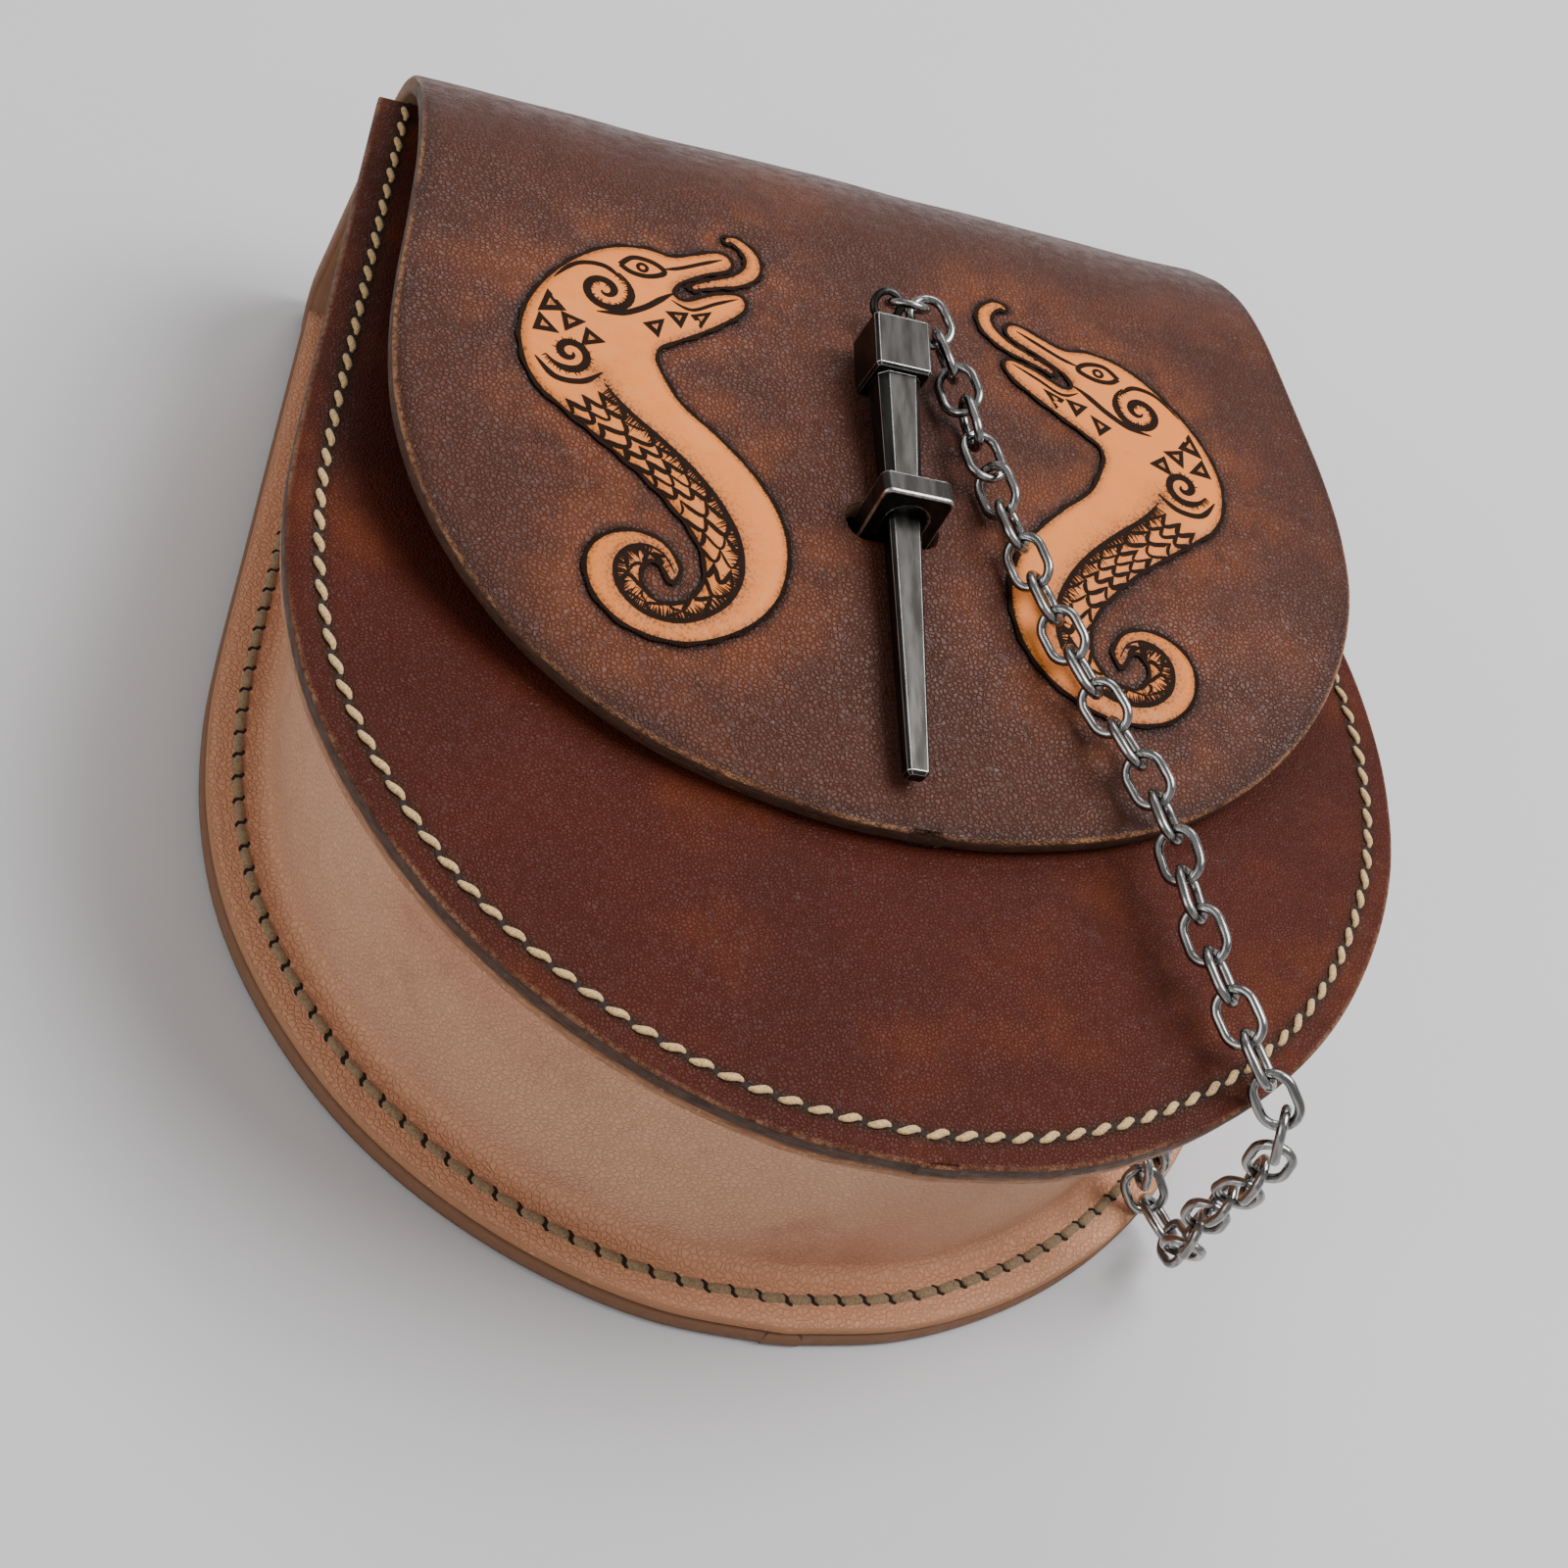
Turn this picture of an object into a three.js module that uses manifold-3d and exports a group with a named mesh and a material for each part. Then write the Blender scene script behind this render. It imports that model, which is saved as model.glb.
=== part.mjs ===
// A sporran pouch: a D-shaped leather bag lying on its back, with a flap folded over its top,
// a steel pin pushed through a keeper to hold the flap shut, and a chain from the pin to the bag's side.
//
// Frame, in millimetres: the back panel lies in the plane z = 0 and +Z points out of the bag's front.
// +Y points at the fold over the top, and +X at the side the chain hangs on.
// The origin is the bottom centre of the whole box.

import * as THREE from 'three';
import { mergeVertices } from 'three/addons/utils/BufferGeometryUtils.js';
import Module from 'manifold-3d';

const wasm = await Module();
wasm.setup();

// ---------------------------------------------------------------- driving sizes

const GAP = 0.3;                 // air left between pieces that touch
const BACK_LEATHER = 3.2;        // back panel and flap, cut as one piece
const FRONT_LEATHER = 3.0;
const GUSSET_LEATHER = 1.8;

const BAG_TOP = 97.2;            // outer face of the leather over the top
const BACK_FOLD_RADIUS = 8;      // the back panel turning up at the top
const FRONT_TOP = 92;            // the front panel's straight top edge
const GUSSET_TOP = 88.8;         // where the gusset's two ends stop
const GUSSET_INSET = 10;         // gusset wall, in from the panels' edges
const GUSSET_BEND = 2.4;         // fillet between the wall and its turned-out flanges
const TIP_HALF = 3;              // half-width of the flat facet at an outline's lowest point
const FLANGE_INSET = 0.4;        // the gusset's flanges stop this far inside the panels' edges
const FLAP_SHIFT = 2.7;          // the flap sits a little off the middle, to the chain's side

// Half of the D that the back and front panels share, from the bottom to the top corner: x, y.
const PANEL_OUTLINE = [
  [0, -97.2], [19, -95.2], [36.5, -89.3], [53, -79.8], [66.5, -67.8], [77, -53.3], [84.3, -37.5],
  [87.8, -21.2], [88.4, -5], [87, 10], [83, 36.2], [79, 62.3], [74.2, 93.4],
];

// Half of the flap's blunter D, from its tip to the fold: x, y.
const FLAP_OUTLINE = [
  [0, -47.2], [10.5, -46.8], [21, -45.1], [31.5, -42.4], [42, -38.2], [52, -32.3], [61, -24.8],
  [69, -15.4], [75, -4.5], [78.6, 7.6], [79.4, 20.2], [78.5, 33], [76.8, 46], [75.2, 60.2],
  [74, 76.7], [72.8, 91.5],
];

// Heights of the outer faces above the ground along the bag: y, z.
const FRONT_HEIGHT = [[-97.2, 58.4], [-50, 59], [-10, 58.5], [30, 56.5], [65, 54.3], [92, 52.9]];
const FLAP_HEIGHT = [
  [-47.2, 62.6], [-27.7, 64.3], [-8.2, 67.4], [11.3, 70], [30.9, 71], [50.5, 70.9], [64, 70.2],
  [75, 67.8], [84, 63.8], [91.5, 58.8],
];
const FOLD = [[94.8, 55.4], [96.5, 51], [97.2, 45], [97.2, 26]];   // from the flap round to the upright

// Shallow hollows in the gusset's wall: place along it from the left end (0 to 1), depth, half-length.
const GUSSET_DENTS = [[0.24, 1.2, 0.07], [0.43, 1.8, 0.09], [0.66, 1.4, 0.06]];

// The round-ended slot cut in the flap for the keeper, and the heights its cut runs between.
const SLOT = { x: 0, y: 3.6, width: 15, height: 6.4, below: 60.6, above: 76.6 };

const KEEPER = {
  y: 3.2, width: 11.4, depth: 4.2, top: 79.2, foot: 58.6,
  hole: 6.4, holeFloor: 61.4, arch: 73.2, corner: 1.3, bevel: 0.35,
};

const PIN = { x: 0, tipY: -40.1, tipZ: 65.75, tilt: Math.atan(0.1486) };
// Sections of the pin from its tip: distance, half-width, half-thickness, chamfer.
const PIN_SECTIONS = [
  [0, 1.25, 0.95, 0.35], [0.6, 1.75, 1.4, 0.45], [47, 2.7, 1.9, 0.6], [47, 2.85, 2.5, 1.1],
  [67.4, 3.5, 3.2, 1.3], [67.4, 4.2, 4.1, 0.4], [67.9, 4.6, 4.5, 0.5], [76.9, 4.6, 4.5, 0.5],
  [77.4, 4.2, 4.1, 0.4],
];
// The ring-shaped eye at the pommel's end, and the post that carries it.
const EYE = { centre: [0.2, 42.6, 76.8], axis: [0, 0.67, -0.74], radius: 2.2, wire: 0.65 };
const EYE_POST = { radius: 0.9, length: 5.4, foot: [0.2, 38.45, 75.33] };

const PIN_RING = { centre: [3.5, 43, 77.2], radius: 3.1, wire: 0.65 };
const EDGE_ON = [0, 0.74, 0.67];         // the normal of the eye ring's plane

const LINK = { length: 8.2, width: 5.7, wire: 0.7, sides: 6, arcSteps: 6 };   // on the wire's centre
const LINK_COUNT = 39;
const OPEN_WAY = [-0.45, -0.6, 0.66];    // the way the open links face
// Turn of the first links about the chain, in degrees: past them, every other link stands on edge.
const FIRST_TURNS = [-25, 80, 180, 248, 322, 385, 465];
// The chain's centre line from the ring on the pin to the eye on the gusset.
const CHAIN_ROUTE = [
  [6.2, 43.8, 77.5], [8.6, 38, 76.3], [10.7, 32, 75.5], [12.2, 25.8, 75.1], [14.2, 16.5, 74.6],
  [18, 4.2, 73.4], [22.2, -7, 71.9], [27, -17.5, 70.4], [32.6, -27.6, 69.2], [37.2, -37.4, 68.6],
  [39.4, -47, 68.2], [41.2, -58, 67.2], [44.4, -69, 66], [48.9, -79.1, 63.9], [53.6, -84.6, 60.1],
  [55.8, -86.4, 53], [57, -86.2, 45.5], [58.6, -85, 38.9], [58.8, -83.5, 32.1], [60.7, -82.4, 26],
  [61.6, -82.9, 18.6], [63.8, -82.2, 13.3], [65.3, -78.3, 9.2], [64.6, -73.2, 6.6], [59.1, -68.3, 12.5],
  [56.6, -69.1, 20], [55.3, -71.8, 24.9], [52.9, -72.9, 29.9], [50.1, -73.5, 35.9], [47.6, -76.2, 46.6],
];
const ANCHOR = {
  centre: [47.3, -76.4, 48.1], axis: [0.93, 0.24, 0.24], radius: 2.4, wire: 0.65,
  plate: 7, plateThickness: 1.2,
};

const BROWN = 0x5a3a2b;
const RED_BROWN = 0x63301f;
const TAN = 0xc09678;
const STEEL = 0x55524f;
const BRIGHT_STEEL = 0x8d8d8c;

// Facets: the smallest numbers that keep each outline round.
const FACETS = { flap: 30, back: 30, front: 34, gusset: 46, fold: 4, fillet: 3 };

// ---------------------------------------------------------------- helpers

function vec(list) {
  return new THREE.Vector3(...list);
}

function smoothCurve(pairs) {
  return new THREE.SplineCurve(pairs.map(([u, v]) => new THREE.Vector2(u, v)));
}

// The second value of a smooth curve through the pairs, where its first value is u.
function valueAt(pairs, u) {
  const points = smoothCurve(pairs).getPoints(120);
  const last = points.length - 1;
  if (u <= points[0].x) return points[0].y;
  if (u >= points[last].x) return points[last].y;
  const i = points.findIndex((p) => p.x > u);
  const t = (u - points[i - 1].x) / (points[i].x - points[i - 1].x);
  return THREE.MathUtils.lerp(points[i - 1].y, points[i].y, t);
}

function frontHeight(y) {
  return valueAt(FRONT_HEIGHT, y);
}

// A closed triangle mesh from points and faces, turned so that its faces point out.
function closedMesh(points, faces) {
  let volume = 0;
  for (const [a, b, c] of faces) {
    volume += points[a].dot(new THREE.Vector3().crossVectors(points[b], points[c]));
  }
  const outward = volume > 0 ? faces : faces.map(([a, b, c]) => [a, c, b]);
  const geometry = new THREE.BufferGeometry();
  geometry.setAttribute('position', new THREE.Float32BufferAttribute(points.flatMap((p) => p.toArray()), 3));
  geometry.setIndex(outward.flat());
  return geometry;
}

// Joins rings of points, each with the same number of points, into a tube with flat ends.
function loft(rings, closed = false) {
  const size = rings[0].length;
  const points = rings.flat();
  const faces = [];
  const spans = closed ? rings.length : rings.length - 1;
  for (let i = 0; i < spans; i += 1) {
    const near = i * size;
    const far = ((i + 1) % rings.length) * size;
    for (let j = 0; j < size; j += 1) {
      const k = (j + 1) % size;
      faces.push([near + j, near + k, far + k], [near + j, far + k, far + j]);
    }
  }
  if (!closed) {
    const flatEnd = (start) => {
      const ring = points.slice(start, start + size);
      return THREE.ShapeUtils.triangulateShape(flatten(ring), []).map((f) => f.map((k) => k + start));
    };
    faces.push(...flatEnd(0).map(([a, b, c]) => [a, c, b]));
    faces.push(...flatEnd(points.length - size));
  }
  return closedMesh(points, faces);
}

// Lays a flat ring of points down in its own plane.
function flatten(ring) {
  const across = new THREE.Vector3().subVectors(ring[1], ring[0]).normalize();
  const normal = new THREE.Vector3();
  ring.forEach((p, i) => normal.add(new THREE.Vector3().crossVectors(p, ring[(i + 1) % ring.length])));
  const up = new THREE.Vector3().crossVectors(normal.normalize(), across);
  return ring.map((p) => new THREE.Vector2(p.dot(across), p.dot(up)));
}

function toSolid(geometry) {
  const bare = geometry.clone();
  bare.deleteAttribute('normal');
  bare.deleteAttribute('uv');
  const merged = mergeVertices(bare, 1e-4);
  return new wasm.Manifold(new wasm.Mesh({
    numProp: 3,
    vertProperties: new Float32Array(merged.attributes.position.array),
    triVerts: new Uint32Array(merged.index.array),
  }));
}

function fromSolid(solid) {
  const mesh = solid.getMesh();
  const geometry = new THREE.BufferGeometry();
  geometry.setAttribute('position', new THREE.BufferAttribute(mesh.vertProperties, 3));
  geometry.setIndex(new THREE.BufferAttribute(mesh.triVerts, 1));
  return geometry;
}

function ringGeometry(centre, radius, wire, axis) {
  const geometry = new THREE.TorusGeometry(radius, wire, 8, 20);
  geometry.applyQuaternion(new THREE.Quaternion().setFromUnitVectors(vec([0, 0, 1]), vec(axis).normalize()));
  return geometry.translate(...centre);
}

function named(name, geometry, color, roughness, metalness) {
  geometry.computeVertexNormals();
  const mesh = new THREE.Mesh(geometry, new THREE.MeshStandardMaterial({ color, roughness, metalness }));
  mesh.name = name;
  return mesh;
}

// ---------------------------------------------------------------- leather

// A sheet that is straight across the bag. Each station is a line across it: its middle,
// half-width and place on the outer face. The thickness goes inward, square to the face.
function sheet(stations, thickness) {
  const rings = stations.map(({ y, z, half, middle }, i) => {
    const before = stations[Math.max(i - 1, 0)];
    const after = stations[Math.min(i + 1, stations.length - 1)];
    const along = new THREE.Vector2(after.y - before.y, after.z - before.z).normalize();
    const innerY = y + along.y * thickness;
    const innerZ = z - along.x * thickness;
    return [
      new THREE.Vector3(middle - half, y, z),
      new THREE.Vector3(middle + half, y, z),
      new THREE.Vector3(middle + half, innerY, innerZ),
      new THREE.Vector3(middle - half, innerY, innerZ),
    ];
  });
  return loft(rings);
}

// Stations up one half outline, from its rounded tip to its top.
function outlineStations(outline, count, height, middle, top) {
  return smoothCurve(outline).getSpacedPoints(count)
    .filter((p) => p.y <= top)
    .map((p) => ({ y: p.y, z: height(p.y), half: Math.max(p.x, TIP_HALF), middle }));
}

function backAndFlap() {
  const flap = outlineStations(FLAP_OUTLINE, FACETS.flap, (y) => valueAt(FLAP_HEIGHT, y), FLAP_SHIFT, BAG_TOP);
  const straightTop = BAG_TOP - BACK_FOLD_RADIUS - 1;
  const back = outlineStations(PANEL_OUTLINE, FACETS.back, () => 0, 0, straightTop).reverse();

  const turn = FOLD.map(([y, z]) => ({ y, z }));
  for (let step = 0; step <= FACETS.fold; step += 1) {
    const angle = (step / FACETS.fold) * (Math.PI / 2);
    turn.push({
      y: BAG_TOP - BACK_FOLD_RADIUS * (1 - Math.cos(angle)),
      z: BACK_FOLD_RADIUS * (1 - Math.sin(angle)),
    });
  }
  const from = flap[flap.length - 1].half;
  const to = back[0].half;
  turn.forEach((station, i) => {
    const t = (i + 1) / (turn.length + 1);
    station.half = THREE.MathUtils.lerp(from, to, t);
    station.middle = FLAP_SHIFT * (1 - t);
  });

  const leather = toSolid(sheet([...flap, ...turn, ...back], BACK_LEATHER));
  return fromSolid(leather.subtract(toSolid(slotPlug())));
}

// The round-ended hole in the flap, as the plug that cuts it.
function slotPlug() {
  const radius = SLOT.height / 2;
  const straight = SLOT.width / 2 - radius;
  const shape = new THREE.Shape();
  shape.absarc(straight, 0, radius, -Math.PI / 2, Math.PI / 2);
  shape.absarc(-straight, 0, radius, Math.PI / 2, 1.5 * Math.PI);
  const depth = SLOT.above - SLOT.below;
  const plug = new THREE.ExtrudeGeometry(shape, { depth, bevelEnabled: false, curveSegments: 8 });
  return plug.translate(SLOT.x, SLOT.y, SLOT.below);
}

function frontPanel() {
  const stations = outlineStations(PANEL_OUTLINE, FACETS.front, frontHeight, 0, FRONT_TOP - 1);
  const top = stations[stations.length - 1];
  stations.push({ ...top, y: FRONT_TOP, z: frontHeight(FRONT_TOP), half: top.half - 0.4 });
  return sheet(stations, FRONT_LEATHER);
}

function dentDepth(along) {
  let depth = 0;
  for (const [place, deepest, reach] of GUSSET_DENTS) {
    const t = Math.abs(along - place) / reach;
    if (t < 1) depth += deepest * Math.cos((t * Math.PI) / 2) ** 2;
  }
  return depth;
}

// The gusset's section: distance in from the panels' edge and share of the height, as a wall
// with a flange turned out at each end. bottom and top are the outer faces of the flanges.
function gussetSection(bottom, top, dent) {
  const wall = GUSSET_INSET;
  const inner = wall + GUSSET_LEATHER;
  const round = GUSSET_BEND + GUSSET_LEATHER;
  const middle = (bottom + top) / 2;
  const section = [[FLANGE_INSET, bottom]];
  const arc = (x, z, radius, start, end) => {
    for (let step = 0; step <= FACETS.fillet; step += 1) {
      const angle = THREE.MathUtils.degToRad(THREE.MathUtils.lerp(start, end, step / FACETS.fillet));
      section.push([x + radius * Math.cos(angle), z + radius * Math.sin(angle)]);
    }
  };
  arc(inner - round, bottom + round, round, -90, 0);
  section.push([inner + dent, middle]);
  arc(inner - round, top - round, round, 0, 90);
  section.push([FLANGE_INSET, top], [FLANGE_INSET, top - GUSSET_LEATHER]);
  arc(inner - round, top - round, GUSSET_BEND, 90, 0);
  section.push([wall + dent, middle]);
  arc(inner - round, bottom + round, GUSSET_BEND, 0, -90);
  section.push([FLANGE_INSET, bottom + GUSSET_LEATHER]);
  return section;
}

// The whole U that the gusset follows, from the left top corner round to the right one.
function gussetPath() {
  const right = smoothCurve(PANEL_OUTLINE).getSpacedPoints(60).filter((p) => p.y < GUSSET_TOP - 2);
  right.push(new THREE.Vector2(75, GUSSET_TOP));
  const left = right.slice(1).reverse().map((p) => new THREE.Vector2(-p.x, p.y));
  return new THREE.SplineCurve([...left, ...right]);
}

// The top flange follows the front panel's slope, so each corner takes the panel's height over it.
function gusset() {
  const path = gussetPath();
  const bottom = BACK_LEATHER + GAP;
  const topAt = (y) => frontHeight(y) - FRONT_LEATHER - GAP;
  const rings = path.getSpacedPoints(FACETS.gusset).map((point, i) => {
    const along = i / FACETS.gusset;
    const tangent = path.getTangentAt(along);
    const inward = new THREE.Vector2(-tangent.y, tangent.x);
    const level = gussetSection(bottom, topAt(point.y), dentDepth(along));
    return level.map(([inset], corner) => {
      const x = point.x + inward.x * inset;
      const y = point.y + inward.y * inset;
      const [, z] = gussetSection(bottom, topAt(y), dentDepth(along))[corner];
      return new THREE.Vector3(x, y, z);
    });
  });
  return loft(rings);
}

// ---------------------------------------------------------------- steel

// A thick block loop that stands on the front panel and comes up through the flap.
function keeper() {
  const half = KEEPER.width / 2 - KEEPER.bevel;
  const top = KEEPER.top - KEEPER.bevel;
  const foot = KEEPER.foot + KEEPER.bevel;
  const block = new THREE.Shape();
  block.moveTo(-half, foot);
  block.lineTo(half, foot);
  block.absarc(half - KEEPER.corner, top - KEEPER.corner, KEEPER.corner, 0, Math.PI / 2);
  block.absarc(-half + KEEPER.corner, top - KEEPER.corner, KEEPER.corner, Math.PI / 2, Math.PI);
  const body = new THREE.ExtrudeGeometry(block, {
    depth: KEEPER.depth - 2 * KEEPER.bevel,
    bevelSize: KEEPER.bevel,
    bevelThickness: KEEPER.bevel,
    bevelSegments: 1,
    curveSegments: 5,
  });
  body.rotateX(Math.PI / 2);
  body.translate(0, KEEPER.y + KEEPER.depth / 2 - KEEPER.bevel, 0);

  const arch = new THREE.Shape();
  arch.moveTo(-KEEPER.hole / 2, KEEPER.holeFloor);
  arch.lineTo(KEEPER.hole / 2, KEEPER.holeFloor);
  arch.absarc(0, KEEPER.arch, KEEPER.hole / 2, 0, Math.PI);
  const through = 2 * KEEPER.depth;
  const opening = new THREE.ExtrudeGeometry(arch, { depth: through, bevelEnabled: false, curveSegments: 10 });
  opening.rotateX(Math.PI / 2);
  opening.translate(0, KEEPER.y + through / 2, 0);
  return fromSolid(toSolid(body).subtract(toSolid(opening)));
}

function chamferedSection([along, halfWidth, halfThick, chamfer]) {
  const corners = [
    [halfWidth - chamfer, -halfThick], [halfWidth, -halfThick + chamfer],
    [halfWidth, halfThick - chamfer], [halfWidth - chamfer, halfThick],
    [-halfWidth + chamfer, halfThick], [-halfWidth, halfThick - chamfer],
    [-halfWidth, -halfThick + chamfer], [-halfWidth + chamfer, -halfThick],
  ];
  return corners.map(([x, z]) => new THREE.Vector3(x, along, z));
}

// Blade, grip and square pommel, with a ring-shaped eye on a short post at the pommel's end.
function pin() {
  const shaft = loft(PIN_SECTIONS.map(chamferedSection));
  shaft.rotateX(PIN.tilt);
  shaft.translate(PIN.x, PIN.tipY, PIN.tipZ);
  const eye = ringGeometry(EYE.centre, EYE.radius, EYE.wire, EYE.axis);
  const post = new THREE.CylinderGeometry(EYE_POST.radius, EYE_POST.radius, EYE_POST.length, 10);
  post.translate(...EYE_POST.foot);
  return fromSolid(toSolid(shaft).add(toSolid(eye)).add(toSolid(post)));
}

function pinRing() {
  return ringGeometry(PIN_RING.centre, PIN_RING.radius, PIN_RING.wire, EDGE_ON);
}

// One oval link about the origin: long way along Y, lying in the XY plane.
function linkGeometry() {
  const radius = LINK.width / 2;
  const straight = (LINK.length - LINK.width) / 2;
  const centres = [];
  for (const end of [1, -1]) {
    for (let step = 0; step <= LINK.arcSteps; step += 1) {
      const angle = (step / LINK.arcSteps) * Math.PI + (end > 0 ? 0 : Math.PI);
      const out = new THREE.Vector3(Math.cos(angle), Math.sin(angle), 0);
      centres.push({ out, at: out.clone().multiplyScalar(radius).add(vec([0, end * straight, 0])) });
    }
  }
  const rings = centres.map(({ out, at }) => {
    const ring = [];
    for (let side = 0; side < LINK.sides; side += 1) {
      const angle = (side / LINK.sides) * 2 * Math.PI;
      const point = at.clone().addScaledVector(out, LINK.wire * Math.cos(angle));
      point.z += LINK.wire * Math.sin(angle);
      ring.push(point);
    }
    return ring;
  });
  return loft(rings, true);
}

function linkTurn(index) {
  const known = FIRST_TURNS.length;
  if (index < known) return FIRST_TURNS[index];
  return FIRST_TURNS[known - 1] + 90 * (index - known + 1);
}

function chainLinks() {
  const route = new THREE.CatmullRomCurve3(CHAIN_ROUTE.map(vec), false, 'centripetal');
  route.arcLengthDivisions = 600;
  const joints = route.getSpacedPoints(LINK_COUNT);
  const carried = vec(OPEN_WAY);
  return joints.slice(1).map((joint, i) => {
    const along = new THREE.Vector3().subVectors(joint, joints[i]).normalize();
    carried.addScaledVector(along, -carried.dot(along)).normalize();
    const open = carried.clone().applyAxisAngle(along, THREE.MathUtils.degToRad(linkTurn(i)));
    const across = new THREE.Vector3().crossVectors(along, open);
    const link = named(`chain_link_${String(i + 1).padStart(2, '0')}`, linkGeometry(), BRIGHT_STEEL, 0.3, 1);
    link.quaternion.setFromRotationMatrix(new THREE.Matrix4().makeBasis(across, along, open));
    link.position.addVectors(joint, joints[i]).multiplyScalar(0.5);
    return link;
  });
}

// The plain eye on the gusset's wall that holds the chain's other end, on a plate set flat to the wall.
function chainAnchor() {
  const path = gussetPath();
  const centre = vec(ANCHOR.centre);
  const distanceAt = (t) => {
    const p = path.getPointAt(t);
    return Math.hypot(p.x - centre.x, p.y - centre.y);
  };
  const searchSteps = 500;
  let nearest = 0.5;
  for (let i = searchSteps / 2; i < searchSteps; i += 1) {
    if (distanceAt(i / searchSteps) < distanceAt(nearest)) nearest = i / searchSteps;
  }
  const tangent = path.getTangentAt(nearest);
  const outward = new THREE.Vector3(tangent.y, -tangent.x, 0);
  const toWall = GUSSET_INSET - distanceAt(nearest) - GAP - ANCHOR.plateThickness / 2;
  const plate = new THREE.BoxGeometry(ANCHOR.plate, ANCHOR.plateThickness, ANCHOR.plate);
  plate.applyQuaternion(new THREE.Quaternion().setFromUnitVectors(vec([0, 1, 0]), outward));
  plate.translate(centre.x - outward.x * toWall, centre.y - outward.y * toWall, centre.z);
  const eye = ringGeometry(ANCHOR.centre, ANCHOR.radius, ANCHOR.wire, ANCHOR.axis);
  return fromSolid(toSolid(plate).add(toSolid(eye)));
}

// ---------------------------------------------------------------- the pouch

const pouch = new THREE.Group();
pouch.add(
  named('back_and_flap', backAndFlap(), BROWN, 0.55, 0),
  named('front_panel', frontPanel(), RED_BROWN, 0.5, 0),
  named('gusset', gusset(), TAN, 0.6, 0),
  named('keeper', keeper(), STEEL, 0.35, 1),
  named('pin', pin(), STEEL, 0.35, 1),
  named('pin_ring', pinRing(), BRIGHT_STEEL, 0.3, 1),
  named('chain_anchor', chainAnchor(), STEEL, 0.4, 1),
  ...chainLinks(),
);

export default pouch;
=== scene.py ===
"""A leather sporran pouch with a steel pin and chain, lying on its back on a pale floor.

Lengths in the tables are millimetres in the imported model's frame, and mesh_object() turns them into
metres. Colours are linear red, green and blue.
"""
import math
import random

import bmesh
import bpy
import numpy as np
from mathutils import Matrix, Vector
from mathutils.geometry import delaunay_2d_cdt


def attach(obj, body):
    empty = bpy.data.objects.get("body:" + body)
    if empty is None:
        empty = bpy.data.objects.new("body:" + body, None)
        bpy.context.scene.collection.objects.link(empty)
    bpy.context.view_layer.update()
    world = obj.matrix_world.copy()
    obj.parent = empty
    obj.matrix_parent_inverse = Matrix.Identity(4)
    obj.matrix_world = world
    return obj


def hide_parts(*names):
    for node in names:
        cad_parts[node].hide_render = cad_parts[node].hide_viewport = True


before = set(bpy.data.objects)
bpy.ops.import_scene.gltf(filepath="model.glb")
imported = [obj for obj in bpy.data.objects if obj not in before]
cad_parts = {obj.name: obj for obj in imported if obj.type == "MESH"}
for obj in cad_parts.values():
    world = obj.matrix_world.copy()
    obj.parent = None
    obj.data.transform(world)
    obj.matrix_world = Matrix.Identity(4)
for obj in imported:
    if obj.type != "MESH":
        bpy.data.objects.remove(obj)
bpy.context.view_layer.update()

MM = 0.001
BODY = "root"
rng = random.Random(7)

# ---------------------------------------------------------------- sizes

GAP = 0.3
BACK_LEATHER = 3.2
FRONT_LEATHER = 3.0
GUSSET_LEATHER = 1.8
BAG_TOP = 97.2
BACK_FOLD_RADIUS = 8.0
GROUND_TOP = BAG_TOP - BACK_FOLD_RADIUS - 1
FRONT_TOP = 92.0
GUSSET_TOP = 88.8
GUSSET_INSET = 10.0
GUSSET_BEND = 2.4
GUSSET_RIM = 0.7          # where a flange's flat face starts, behind its bevel
GUSSET_BEVEL = 0.4
GUSSET_STEPS = 240
TIP_HALF = 3.0            # half of the flat at a panel's tip
FLAP_SHIFT = 2.7          # the flap sits this far right of the back panel's middle
FLAP_TOP = 91.5           # where the flap turns into the fold
FLAP_RIM = 0.9            # the radius of a panel's arris
FRONT_RIM = 0.8
FIGURES_TOP = 88          # both tooled figures are below this y
FAR = 99.0                # farther than anything looks for a figure

# How finely the two panels are divided, across and along.
FLAP_COLUMNS, FLAP_ROWS, FOLD_ROWS, BACK_ROWS = 112, 1.15, 1.5, 3.0
FRONT_COLUMNS, FRONT_ROWS = 110, 1.6

PANEL_OUTLINE = [
    (0, -97.2), (19, -95.2), (36.5, -89.3), (53, -79.8), (66.5, -67.8), (77, -53.3), (84.3, -37.5),
    (87.8, -21.2), (88.4, -5), (87, 10), (83, 36.2), (79, 62.3), (74.2, 93.4),
]
FLAP_OUTLINE = [
    (0, -47.2), (10.5, -46.8), (21, -45.1), (31.5, -42.4), (42, -38.2), (52, -32.3), (61, -24.8),
    (69, -15.4), (75, -4.5), (78.6, 7.6), (79.4, 20.2), (78.5, 33), (76.8, 46), (75.2, 60.2),
    (74, 76.7), (72.8, 91.5),
]
FRONT_HEIGHT = [(-97.2, 58.4), (-50, 59), (-10, 58.5), (30, 56.5), (65, 54.3), (92, 52.9)]
FLAP_HEIGHT = [
    (-47.2, 62.6), (-27.7, 64.3), (-8.2, 67.4), (11.3, 70), (30.9, 71), (50.5, 70.9), (64, 70.2),
    (75, 67.8), (84, 63.8), (91.5, 58.8),
]
FOLD = [(94.8, 55.4), (96.5, 51), (97.2, 45)]
GUSSET_DENTS = [(0.24, 1.2, 0.07), (0.43, 1.8, 0.09), (0.66, 1.4, 0.06)]

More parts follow.
